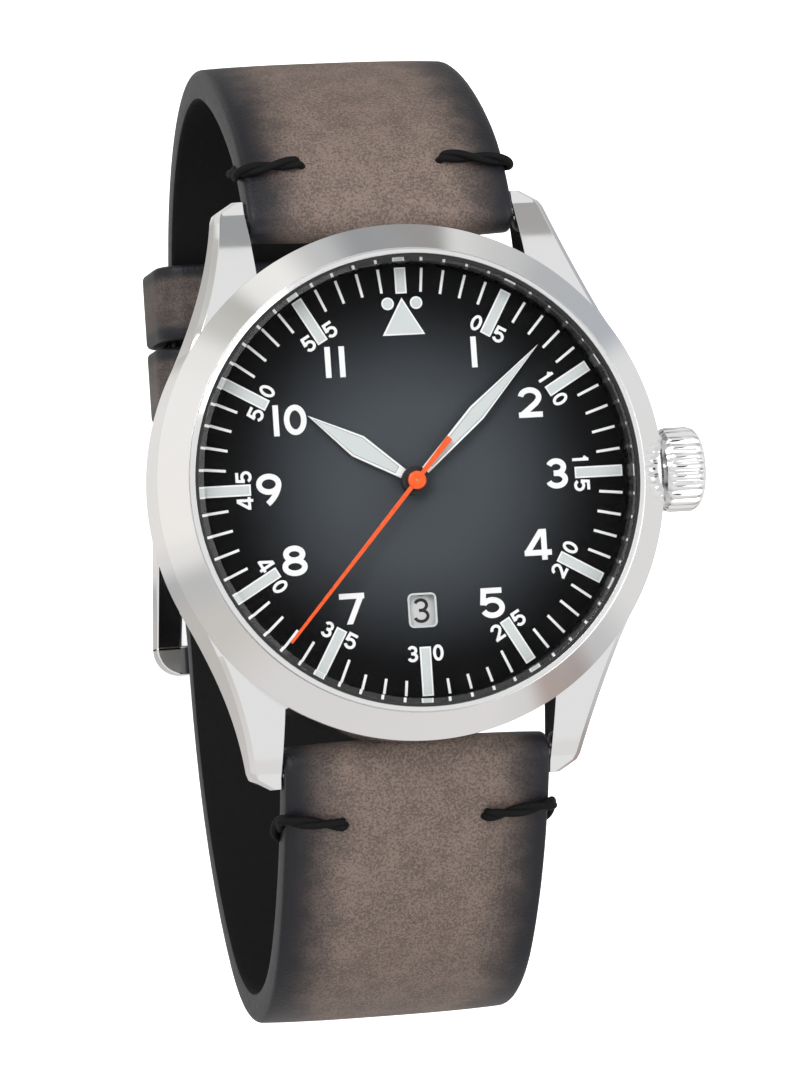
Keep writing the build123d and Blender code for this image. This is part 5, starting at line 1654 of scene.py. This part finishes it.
@dataclass
class Strap:
    """Both strap halves, their threads, the keepers and the buckle.

    All lengths are in millimetres.
    """

    levels: Levels
    bar: Point = (21.9, 1.7)
    bar_room: float = 0.85
    eye: float = 1.9
    eye_turn: float = 235.0
    leather: float = 1.7
    lining: float = 1.2
    half: float = 10.8
    end_half: float = 10.0
    length: float = 60.0
    climb_run: float = 7.0
    roll_turn: float = 175.0
    roll_leather: float = 0.65
    lining_end: float = 4.2
    level_room: float = 0.5
    slot: Point = (-3.4, 3.0)
    tip_round: float = 6.0
    edge_round: float = 0.45
    padding: float = 0.22
    columns_half: float = 9.8
    edge_columns: tuple[float, ...] = (0.0, 0.05, 0.13, 0.25, 0.42, 0.7, 1.1, 1.6, 2.2, 3.0)
    inner_columns: tuple[float, ...] = (5.6, 4.2, 2.8, 1.4)
    thread_place: float = 26.4
    thread_shift: float = 0.55
    strand: float = 0.31
    strand_offset: float = 0.22
    strand_pitch: float = 6.0
    strand_step: float = 0.12
    keeper_half: float = 11.9
    keeper_wall: float = 1.4
    keeper_round: float = 2.6
    keeper_play: float = 0.1
    keeper_profile: tuple[Point, ...] = ((0.0, 0.35), (0.1, 0.14), (0.3, 0.02), (0.6, 0.0), (1.4, 0.0))
    keeper_bevel: Point = (0.2, 0.02)
    keeper_border: Point = (3.2, -1.6)
    buckle_eye: float = 1.6
    buckle_gap: float = 0.35
    buckle_rails: Point = (10.45, 12.75)
    buckle_front: Point = (-12.5, -9.9)
    buckle_corner: float = 2.3
    buckle_lap: float = 0.5
    buckle_edge: float = 0.25
    groove_half: float = 1.25
    groove_depth: float = 1.9
    bridge_half: float = 1.7
    tongue_eye: float = 1.35
    tongue_half: float = 1.1
    tongue_line: tuple[Point, ...] = ((-2.2, 0.12), (-12.0, 0.12), (-12.4, 0.5), (-12.4, 1.3), (-3.3, 1.3))
    tongue_edge: float = 0.2
    pin_radius: float = 0.75
    pin_edge: float = 0.15
    halves: tuple[Side, ...] = (
        Side("strap_12", 1, -20.0, ((17.0, 30.8), (37.2, 22.5), (21.4, 106.7)), 1.2, False),
        Side("strap_6", -1, -20.4, ((40.1, 26.3), (18.6, 84.1), (35.8, 49.2)), -24.0, True),
    )
    loops: tuple[Loop, ...] = (
        Loop("fixed_keeper", "case", 9.82, 16.01, 0.1),
        Loop("free_keeper", "free_keeper", 16.42, 22.91, 1.9),
    )
    back_level: float = field(init=False)
    long_level: float = field(init=False)

    def __post_init__(self) -> None:
        """Find the levels of the short and the long half at the back of the loop."""
        self.back_level, self.long_level = (self.path(side).points[-1][1] for side in self.halves)

    def build(self) -> None:
        """Build the strap from the case to the buckle."""
        upper, lower = self.halves
        for side, extra in ((upper, ()), (lower, self.climb())):
            self.half_strap(side, extra)
            self.threads(side, extra)
        for loop in self.loops:
            self.keeper(loop)
        self.buckle()

    @property
    def thickness(self) -> float:
        """Thickness of one half."""
        return self.leather + self.lining

    def path(self, side: Side, extra: Sequence[Point] = ()) -> Path:
        """Line of a half's outer face, without its eye and its straight end."""
        start = Path.beside(self.bar, self.eye, 90 + side.heading)
        return Path(start, side.heading, (*side.bends, *extra))

    def climb(self) -> tuple[Point, ...]:
        """Bends that take the long half over the short one."""
        drop = self.long_level - self.back_level + self.thickness
        angle = 2 * degrees(atan(drop / self.climb_run))
        radius = self.climb_run / 2 / sin(radians(angle))
        return ((radius, -angle), (radius, angle))

    def half_width(self, z: float) -> float:
        """Half the strap's width at a height in the frame."""
        change = (self.half - self.end_half) / (self.length - 2 * self.eye)
        return self.half + change * (z - self.bar[1])

    def outline(self, side: Side, extra: Sequence[Point]) -> Path:
        """Outer line of a half, round its eye and on to its end."""
        heading = side.heading + self.eye_turn
        start = Path.beside(self.bar, self.eye, 90 + heading)
        return Path(start, heading, ((self.eye, self.eye_turn), *side.bends, *extra), side.end)

    def columns(self, half: float) -> list[float]:
        """Places across the strap, closer together near its edges."""
        share = min(1.0, half / self.columns_half)
        left = [-(half - gap * share) for gap in self.edge_columns]
        left += [-place * share for place in self.inner_columns]
        return [*left, 0.0, *(-place for place in reversed(left))]

    def drop_at_edge(self, gap: float, half: float) -> float:
        """How far the face falls towards a side edge."""
        corner = self.edge_round
        crown = self.padding * (1 - min(1.0, gap / half)) ** 3
        rounding = corner - (corner**2 - (corner - gap) ** 2) ** 0.5 if gap < corner else 0.0
        return crown + rounding

    def half_strap(self, side: Side, extra: Sequence[Point]) -> None:
        """Make the leather and the lining of one half."""
        outline = self.outline(side, extra)
        eye_steps = int(self.eye_turn / Path.small_turn)
        rows = [
            (point, angle, self.eye - self.bar_room if number <= eye_steps else self.leather)
            for number, (point, angle) in enumerate(zip(outline.points, outline.angles))
        ]
        body = [(point, angle, self.thickness) for point, angle, _ in rows[eye_steps + 1:]]
        roll: list[Row] = []
        if not side.tip:
            turn = Path(outline.points[-1], outline.angles[-1], ((self.thickness / 2, self.roll_turn),))
            places = zip(turn.points[1:], turn.angles[1:])
            roll = [(point, angle, self.roll_leather) for point, angle in places]
            low = self.back_level + self.level_room
            body = [row for row in body if row[0][1] >= low or row[0][0] >= self.lining_end]
        self.layer(f"{side.name}_leather", side, [*rows, *roll], 0.0, HIDE)
        self.layer(f"{side.name}_lining", side, body, self.leather, LINING)

    def layer(self, node: str, side: Side, rows: Sequence[Row], near: float, finish: Finish) -> None:
        """Sweep one layer of a half.

        Args:
            node: CAD node that the layer stands for.
            side: the half.
            rows: outer point, direction and far depth at each station.
            near: depth where the layer starts.
            finish: what its face is made of.
        """
        grids: tuple[Grid, Grid] = ([], [])
        points: list[Place] = []
        borders: list[float] = []
        end_y = rows[-1][0][0]
        for (y, z), angle, far in rows:
            half = self.half_width(z)
            at_tip = side.tip and z < self.back_level
            if at_tip and y < end_y + self.tip_round:
                reach = min(self.tip_round, end_y + self.tip_round - y)
                half -= self.tip_round - max(0.0, self.tip_round**2 - reach * reach) ** 0.5
            normal = Path.way(angle + 90)
            for grid in grids:
                grid.append([])
            for x in self.columns(half):
                gap = max(0.0, half - abs(x))
                drop = self.drop_at_edge(gap, half)
                depths = (near, far - drop * 0.5) if near else (drop, far)
                for depth, grid in zip(depths, grids):
                    grid[-1].append(len(points))
                    place_y = y - normal[0] * depth
                    points.append((x * MM, side.outwards * place_y * MM, (z - normal[1] * depth) * MM))
                    borders.append(min(gap, abs(y - end_y) if at_tip else inf) * MM)
        faces, skins = self.skins(side, rows, grids)
        piece = solid(f"{node}_piece", points, faces)
        mark_borders(piece, borders)
        for material in (finish, LINING, EDGE):
            piece.data.materials.append(material.material())
        piece.data.polygons.foreach_set("material_index", skins)
        tidy_mesh(piece, merge=False)
        smooth(piece, 50.0)
        settle(piece, finish, "case", node)

    def is_leather(self, side: Side, rows: Sequence[Row], row: int, cell: int, cells: int) -> bool:
        """Whether a cell of the grid is leather and not the tongue's slot."""
        if not 0 <= row < len(rows) - 1 or not 0 <= cell < cells:
            return False
        if cell not in (cells // 2 - 1, cells // 2):
            return True
        real_y = [side.outwards * rows[number][0][0] for number in (row, row + 1)]
        low = rows[row][0][1] < self.back_level + self.thickness + self.level_room
        return not (low and min(real_y) < self.slot[1] and max(real_y) > self.slot[0])

    def skins(
        self, side: Side, rows: Sequence[Row], grids: tuple[Grid, Grid],
    ) -> tuple[list[Sequence[int]], list[int]]:
        """Faces of a layer, with the number of the material on each.

        Args:
            side: the half.
            rows: the layer's stations.
            grids: corner numbers of its upper and its lower face, row by row.

        Returns:
            The faces, and 0 for the upper skin, 1 for the lower one or 2 for a side wall.
        """
        upper, lower = grids
        cells = len(upper[0]) - 1
        faces: list[Sequence[int]] = []
        skins: list[int] = []
        for row in range(len(rows) - 1):
            for cell in range(cells):
                if not self.is_leather(side, rows, row, cell, cells):
                    continue
                corners = ((row, cell), (row, cell + 1), (row + 1, cell + 1), (row + 1, cell))
                for skin, grid in enumerate(grids):
                    quad = [grid[y][x] for y, x in corners]
                    faces.append(quad[::-1] if skin else quad)
                    skins.append(skin)
                edges = (
                    (row - 1, cell, corners[0], corners[1]),
                    (row + 1, cell, corners[2], corners[3]),
                    (row, cell - 1, corners[3], corners[0]),
                    (row, cell + 1, corners[1], corners[2]),
                )
                for near_row, near_cell, (y, x), (next_y, next_x) in edges:
                    if not self.is_leather(side, rows, near_row, near_cell, cells):
                        faces.append((upper[next_y][next_x], upper[y][x], lower[y][x], lower[next_y][next_x]))
                        skins.append(2)
        return faces, skins

    def threads(self, side: Side, extra: Sequence[Point]) -> None:
        """Make the two twisted threads that hold a half's fold.

        A thread's stations give the distance from the strap's middle line, the
        way along the strap from the holes, and the depth under its face.
        """
        outline = self.path(side, extra)
        upper_half = range(len(outline.points) // 2)
        number = min(upper_half, key=lambda n: abs(outline.points[n][0] - self.thread_place))
        (y, z), angle = outline.points[number], outline.angles[number]
        normal, way = Path.way(angle + 90), Path.way(angle)
        half = self.half_width(z)
        stations = (
            (5.45, 0.15, 0.9), (5.5, 0.12, 0.1), (5.75, 0.08, -0.38), (6.5, 0.0, -0.45), (8.5, -0.25, -0.4),
            (half - 0.5, -0.5, -0.36), (half + 0.1, -0.5, -0.12), (half + 0.38, -0.3, 0.5),
            (half + 0.36, 0.6, 1.5), (half + 0.3, 1.7, 2.5), (half - 0.1, 2.5, 3.15), (half - 1.2, 2.6, 3.35),
            (7.5, 2.0, 3.35), (5.9, 1.2, 3.3), (5.5, 0.8, 2.9), (5.45, 0.5, 2.2),
        )
        for hand, sign in (("right", 1), ("left", -1)):
            points = []
            for x, along, depth in stations:
                x += self.thread_shift if hand == "left" and x < 6 else 0.0
                place_y = y + way[0] * along - normal[0] * depth
                place_z = z + way[1] * along - normal[1] * depth
                points.append((sign * x * MM, side.outwards * place_y * MM, place_z * MM))
            line = self.soften(points)
            mesh = bpy.data.meshes.new("thread_path")
            mesh.from_pydata(line, [(n, n + 1) for n in range(len(line) - 1)], [])
            carrier = add(f"{side.name}_thread_{hand}", mesh)
            values = {
                "Strand": self.strand * MM, "Offset": self.strand_offset * MM,
                "Pitch": sign * self.strand_pitch * MM, "Step": self.strand_step * MM,
                "Finish": THREAD.material(),
            }
            piece = grown(carrier, thread_tree(), values)
            smooth(piece, 60.0)
            settle(piece, THREAD, "case")

    @staticmethod
    def soften(points: Sequence[Place], rounds: int = 3) -> list[Place]:
        """Line through points, with its corners cut off again and again."""
        line = [Vector(point) for point in points]
        for _ in range(rounds):
            cut = [line[0]]
            for first, second in zip(line, line[1:]):
                cut += (first.lerp(second, 0.25), first.lerp(second, 0.75))
            line = [*cut, line[-1]]
        return [tuple(point) for point in line]

    def keeper(self, loop: Loop) -> None:
        """Make one leather loop, darker towards its borders."""
        wall = self.keeper_wall
        low = self.back_level - self.thickness - self.keeper_play
        high = self.back_level + self.thickness + loop.room
        middle = (0.0, (low + high) / 2)
        outer = rounded(2 * self.keeper_half, high - low + 2 * wall, self.keeper_round, middle, 10)
        ring = [(loop.start + along, inset) for along, inset in self.keeper_profile]
        ring += [(loop.end - along, inset) for along, inset in reversed(self.keeper_profile)]
        deep, flat = (wall - cut for cut in self.keeper_bevel)
        inner_start, inner_end = loop.start + self.keeper_bevel[0], loop.end - self.keeper_bevel[0]
        ring += [(loop.end, deep), (inner_end, flat), (inner_start, flat), (loop.start, deep)]
        points = []
        borders = []
        growth, base = self.keeper_border
        for y, inset in ring:
            for x, z in shrunk(outer, inset) if inset else outer:
                points.append((x * MM, y * MM, z * MM))
                borders.append((growth * min(y - loop.start, loop.end - y) + base) * MM)
        piece = solid(f"{loop.node}_piece", points, ring_faces(len(ring), len(outer), True))
        mark_borders(piece, borders)
        tidy_mesh(piece, merge=False)
        smooth(piece, 50.0)
        settle(piece, HIDE, loop.body, loop.node)

    def sideways(self, name: str, outline: Sequence[Point], low: float, high: float) -> Piece:
        """Raise an outline in the side view between two places across the strap."""
        frame = Matrix(((0, 0, 1, 0), (1, 0, 0, 0), (0, 1, 0, 0), (0, 0, 0, 1)))
        return prism(name, [(y * MM, z * MM) for y, z in outline], low * MM, high * MM, frame)

    def buckle(self) -> None:
        """Make the frame, the tongue and the bar of the buckle."""
        pin = (self.halves[0].end, self.back_level + self.thickness / 2)
        low = self.levels.rest / MM
        piece = join("buckle_frame_piece", self.frame_parts(pin, low, self.long_level - self.buckle_gap))
        round_edges(piece, self.buckle_edge * MM, 3)
        smooth(piece)
        settle(piece, POLISHED, "buckle_frame", "buckle_frame")
        profile = [*arc(pin, (self.tongue_eye, self.tongue_eye), 150, -60, 16)]
        profile += [(y, low + rise) for y, rise in self.tongue_line]
        piece = self.sideways("buckle_tongue_piece", profile, -self.tongue_half, self.tongue_half)
        round_edges(piece, self.tongue_edge * MM, 3)
        smooth(piece)
        settle(piece, POLISHED, "buckle_tongue", "buckle_tongue")
        line = arc(pin, (self.pin_radius, self.pin_radius), 0, 360, 32)[:-1]
        piece = self.sideways("buckle_bar_piece", line, -self.buckle_rails[1], self.buckle_rails[1])
        round_edges(piece, self.pin_edge * MM)
        smooth(piece)
        settle(piece, WORKED, "case", "buckle_bar")

    def frame_parts(self, pin: Point, low: float, top: float) -> list[Piece]:
        """Make the buckle's two rails and its front bar with the tongue's groove.

        Args:
            pin: place of the bar in the side view.
            low: level that the buckle rests on.
            top: level of its upper face.

        Returns:
            The parts, still apart.
        """
        front, back = self.buckle_front
        inner, outer = self.buckle_rails
        corner = self.buckle_corner
        lap = back - self.buckle_lap
        rail = [*arc(pin, (self.buckle_eye, self.buckle_eye), 80, -80, 14)]
        rail += [(back, low), (lap, low), (lap, top), (back, top)]
        parts = []
        for side in (-1, 1):
            parts.append(self.sideways("rail", rail, *sorted((side * inner, side * outer))))
            turn = arc((outer - corner, front + corner), (corner, corner), -90, 0, 12)
            plan = [(self.groove_half, back), (self.groove_half, front), *turn, (outer, back)]
            plan = [(side * x * MM, y * MM) for x, y in plan][::side]
            parts.append(prism("front", plan, low * MM, top * MM))
        x = self.bridge_half
        bridge = [(x * MM, y * MM) for x, y in ((-x, back), (-x, front), (x, front), (x, back))]
        parts.append(prism("front", bridge, (low + self.groove_depth) * MM, top * MM))
        return parts


@dataclass
class Works:
    """Movement and hidden parts, which keep their CAD shapes."""

    finishes: tuple[tuple[Finish, tuple[str, ...]], ...] = (
        (STRIPED, ("barrel_bridge", "train_bridge", "rotor")),
        (SPOTTED, ("mainplate", "movement_ring", "balance_cock", "pallet_bridge")),
        (
            GILT,
            (
                "fourth_wheel", "centre_wheel", "third_wheel", "minute_wheel", "hour_wheel", "balance_wheel",
                "barrel", "barrel_cover", "reversing_wheel",
            ),
        ),
        (
            WORKED,
            (
                "crown_tube", "spring_bars", "date_jumper", "rotor_bearing", "cannon_pinion",
                "escape_wheel", "pallet_fork", "barrel_arbor", "ratchet_wheel", "crown_wheel",
                "winding_stem", "winding_pinion", "sliding_pinion", "setting_lever", "yoke",
            ),
        ),
        (BLUED, ("bridge_screws", "hairspring", "mainspring")),
        (RUBY, ("bearing_jewels",)),
        (RUBBER, ("case_back_gasket", "crown_gasket")),
        (DATE_GREY, ("date_ring",)),
    )

    def dress(self, nodes: dict[str, Piece]) -> None:
        """Give each carried-over CAD node its finish."""
        for finish, names in self.finishes:
            for name in names:
                piece = nodes[name]
                piece.data.materials.clear()
                piece.data.materials.append(finish.material())
                LOG.info("%s keeps its CAD shape", name)


@dataclass
class Studio:
    """Pale floor, soft light and the photograph's camera.

    A field is a place round the watch, in degrees, and the colour that the
    steel mirrors there. A box is a lamp's name, place, size and power.
    """

    floor_level: float
    camera_place: Place = (-0.08865, -0.02722, 0.42028)
    forward: Place = (0.2069, 0.0527, -0.9769)
    upward: Place = (0.0551, 0.9963, 0.0654)
    lens: float = 176.2
    sensor: float = 36.0
    clip: Point = (0.01, 10.0)
    sky: float = 0.85
    floor_half: float = 1.5
    floor_gap: float = 0.05 * MM
    floor_tone: float = 0.9
    floor_glow: float = 0.8
    mirror_gap: float = 0.1 * MM
    mirror_glow: float = 0.84
    ring_radius: float = 0.3
    ring_height: float = 0.13
    ring_steps: int = 180
    shade_place: Place = (0.127, 0.032, 0.6)
    shade_half: float = 0.11
    shade_tone: float = 0.01
    boxes: tuple[tuple[str, Place, float, float], ...] = (
        ("key", (-0.35, 0.45, 0.65), 0.5, 3.2),
        ("fill", (0.5, -0.1, 0.6), 0.6, 1.6),
    )
    fields: tuple[tuple[float, Colour], ...] = (
        (0.0, (0.97, 0.96, 0.95)), (24.0, (0.97, 0.97, 0.97)), (31.0, (0.58, 0.61, 0.65)),
        (46.0, (0.6, 0.61, 0.63)), (56.0, (0.76, 0.76, 0.76)), (66.0, (0.9, 0.9, 0.88)),
        (71.0, (0.42, 0.41, 0.4)), (88.0, (0.35, 0.36, 0.37)), (98.0, (0.6, 0.6, 0.6)),
        (109.0, (0.97, 0.95, 0.92)), (116.0, (0.93, 0.92, 0.9)), (122.0, (0.55, 0.54, 0.51)),
        (129.0, (0.62, 0.61, 0.58)), (137.0, (0.92, 0.9, 0.88)), (150.0, (0.97, 0.95, 0.93)),
        (187.0, (0.97, 0.94, 0.91)), (194.0, (0.88, 0.86, 0.84)), (202.0, (0.56, 0.56, 0.56)),
        (215.0, (0.64, 0.61, 0.58)), (240.0, (0.77, 0.75, 0.74)), (296.0, (0.8, 0.78, 0.77)),
        (305.0, (0.75, 0.73, 0.72)), (311.0, (0.48, 0.4, 0.37)), (319.0, (0.5, 0.44, 0.42)),
        (325.0, (0.71, 0.7, 0.71)), (338.0, (0.95, 0.94, 0.93)), (359.0, (0.97, 0.96, 0.95)),
    )

    def build(self) -> None:
        """Set the floor, the lights, the world and the camera."""
        bpy.context.scene.view_settings.view_transform = "Standard"
        self.floor()
        self.world()
        self.surround()
        self.shade()
        self.lights()
        self.camera()

    def floor(self) -> None:
        """Lay a pale floor under the strap, and below it the one that the steel mirrors."""
        level = self.floor_level - self.floor_gap
        piece = self.square("floor", self.floor_half, (0.0, 0.0, level))
        self.paint(piece, self.floor_tone, self.floor_glow)
        piece.visible_glossy = False
        piece.visible_diffuse = False
        piece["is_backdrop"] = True
        piece = self.square("mirrored_floor", self.floor_half, (0.0, 0.0, level - self.mirror_gap))
        self.colour_round(self.paint(piece, 0.0, self.mirror_glow))
        piece.visible_camera = False
        piece.visible_shadow = False
        piece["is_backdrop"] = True

    @staticmethod
    def square(name: str, half: float, middle: Place) -> Piece:
        """Make a level square round a middle."""
        x, y, z = middle
        sides = ((-1, -1), (1, -1), (1, 1), (-1, 1))
        corners = [(x + side_x * half, y + side_y * half, z) for side_x, side_y in sides]
        return solid(name, corners, ((0, 1, 2, 3),))

    @staticmethod
    def paint(piece: Piece, tone: float, glow: float) -> bpy.types.Material:
        """Give a studio piece a matt grey that also glows white."""
        made = bpy.data.materials.new(piece.name)
        made.use_nodes = True
        shader = made.node_tree.nodes["Principled BSDF"]
        values = {
            "Base Color": rgba((tone, tone, tone)), "Roughness": 1.0, "Specular IOR Level": 0.0,
            "Emission Color": rgba((1.0, 1.0, 1.0)), "Emission Strength": glow,
        }
        for title, value in values.items():
            shader.inputs[title].default_value = value
        piece.data.materials.append(made)
        return made

    def world(self) -> None:
        """Surround the watch with soft white light."""
        world = bpy.data.worlds.new("studio")
        world.use_nodes = True
        ground = world.node_tree.nodes["Background"]
        ground.inputs["Color"].default_value = (1.0, 1.0, 1.0, 1.0)
        ground.inputs["Strength"].default_value = self.sky
        bpy.context.scene.world = world

    def surround(self) -> None:
        """Stand a low ring of pale and grey fields that the polished steel reflects."""
        steps = self.ring_steps
        points = []
        for level in (self.floor_level, self.floor_level + self.ring_height):
            for step in range(steps):
                turn = FULL_TURN * step / steps
                points.append((self.ring_radius * cos(turn), self.ring_radius * sin(turn), level))
        piece = solid("surround", points, ring_faces(2, steps))
        self.colour_round(self.paint(piece, 0.0, 1.0))
        self.hide_card(piece)

    def colour_round(self, made: bpy.types.Material) -> None:
        """Let a studio material glow in fields that follow each other round the watch."""
        tree = Tree(made.node_tree)
        shader = made.node_tree.nodes["Principled BSDF"]
        place = tree.node("ShaderNodeTexCoord").outputs["Object"]
        parts = tree.node("ShaderNodeSeparateXYZ", {0: place}).outputs
        back, left = (tree.math("MULTIPLY", part, -1.0) for part in (parts[1], parts[0]))
        share = tree.math("MULTIPLY_ADD", tree.math("ARCTAN2", back, left), 1 / FULL_TURN, 0.5)
        ramp = tree.node("ShaderNodeValToRGB", {0: share})
        ramp.color_ramp.interpolation = "EASE"
        stops = ramp.color_ramp.elements
        while len(stops) > 1:
            stops.remove(stops[-1])
        for number, (degree, tone) in enumerate(self.fields):
            stop = stops[0] if number == 0 else stops.new(degree / 360)
            stop.position = degree / 360
            stop.color = rgba(tone)
        tree.link(ramp.outputs[0], shader.inputs["Emission Color"])

    def shade(self) -> None:
        """Hang a dark card where the flat crystal would mirror the sky."""
        piece = self.square("shade", self.shade_half, self.shade_place)
        self.paint(piece, self.shade_tone, 0.0)
        self.hide_card(piece)

    @staticmethod
    def hide_card(piece: Piece) -> None:
        """Let only mirrored rays meet a studio card."""
        piece.visible_camera = False
        piece.visible_shadow = False
        piece.visible_diffuse = False
        piece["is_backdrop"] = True

    def lights(self) -> None:
        """Hang two soft boxes."""
        for name, place, size, power in self.boxes:
            data = bpy.data.lights.new(name, "AREA")
            data.energy = power
            data.size = size
            lamp = add(name, data)
            lamp.location = place
            lamp.rotation_euler = (-Vector(place)).to_track_quat("-Z", "Y").to_euler()

    def camera(self) -> None:
        """Place the camera where the photograph was taken."""
        forward = Vector(self.forward).normalized()
        right = forward.cross(Vector(self.upward)).normalized()
        upward = right.cross(forward)
        data = bpy.data.cameras.new("camera")
        data.lens = self.lens
        data.sensor_width = self.sensor
        data.sensor_fit = "AUTO"
        data.clip_start, data.clip_end = self.clip
        made = add("camera", data)
        turn = Matrix((right, upward, -forward)).transposed().to_4x4()
        made.matrix_world = Matrix.Translation(Vector(self.camera_place)) @ turn
        bpy.context.scene.camera = made


def plain(bounds: object) -> object:
    """Turn bounds into lists that can be written as text."""
    if isinstance(bounds, dict):
        return {key: plain(value) for key, value in bounds.items()}
    if hasattr(bounds, "__len__") and not isinstance(bounds, str):
        return [plain(value) for value in bounds]
    return bounds


def main() -> None:
    """Load the frame, build and dress the watch, and set the studio."""
    logging.basicConfig(level=logging.INFO, format="%(name)s: %(message)s")
    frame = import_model()
    before = plain(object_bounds())
    levels = Levels.of_frame()
    Works().dress(frame["nodes"])
    Case(levels).build()
    Dial(levels).build()
    Hands(levels).build()
    Crown(levels).build()
    Strap(levels).build()
    Studio(levels.rest).build()
    after = plain(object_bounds())


if __name__ == "__main__":
    main()
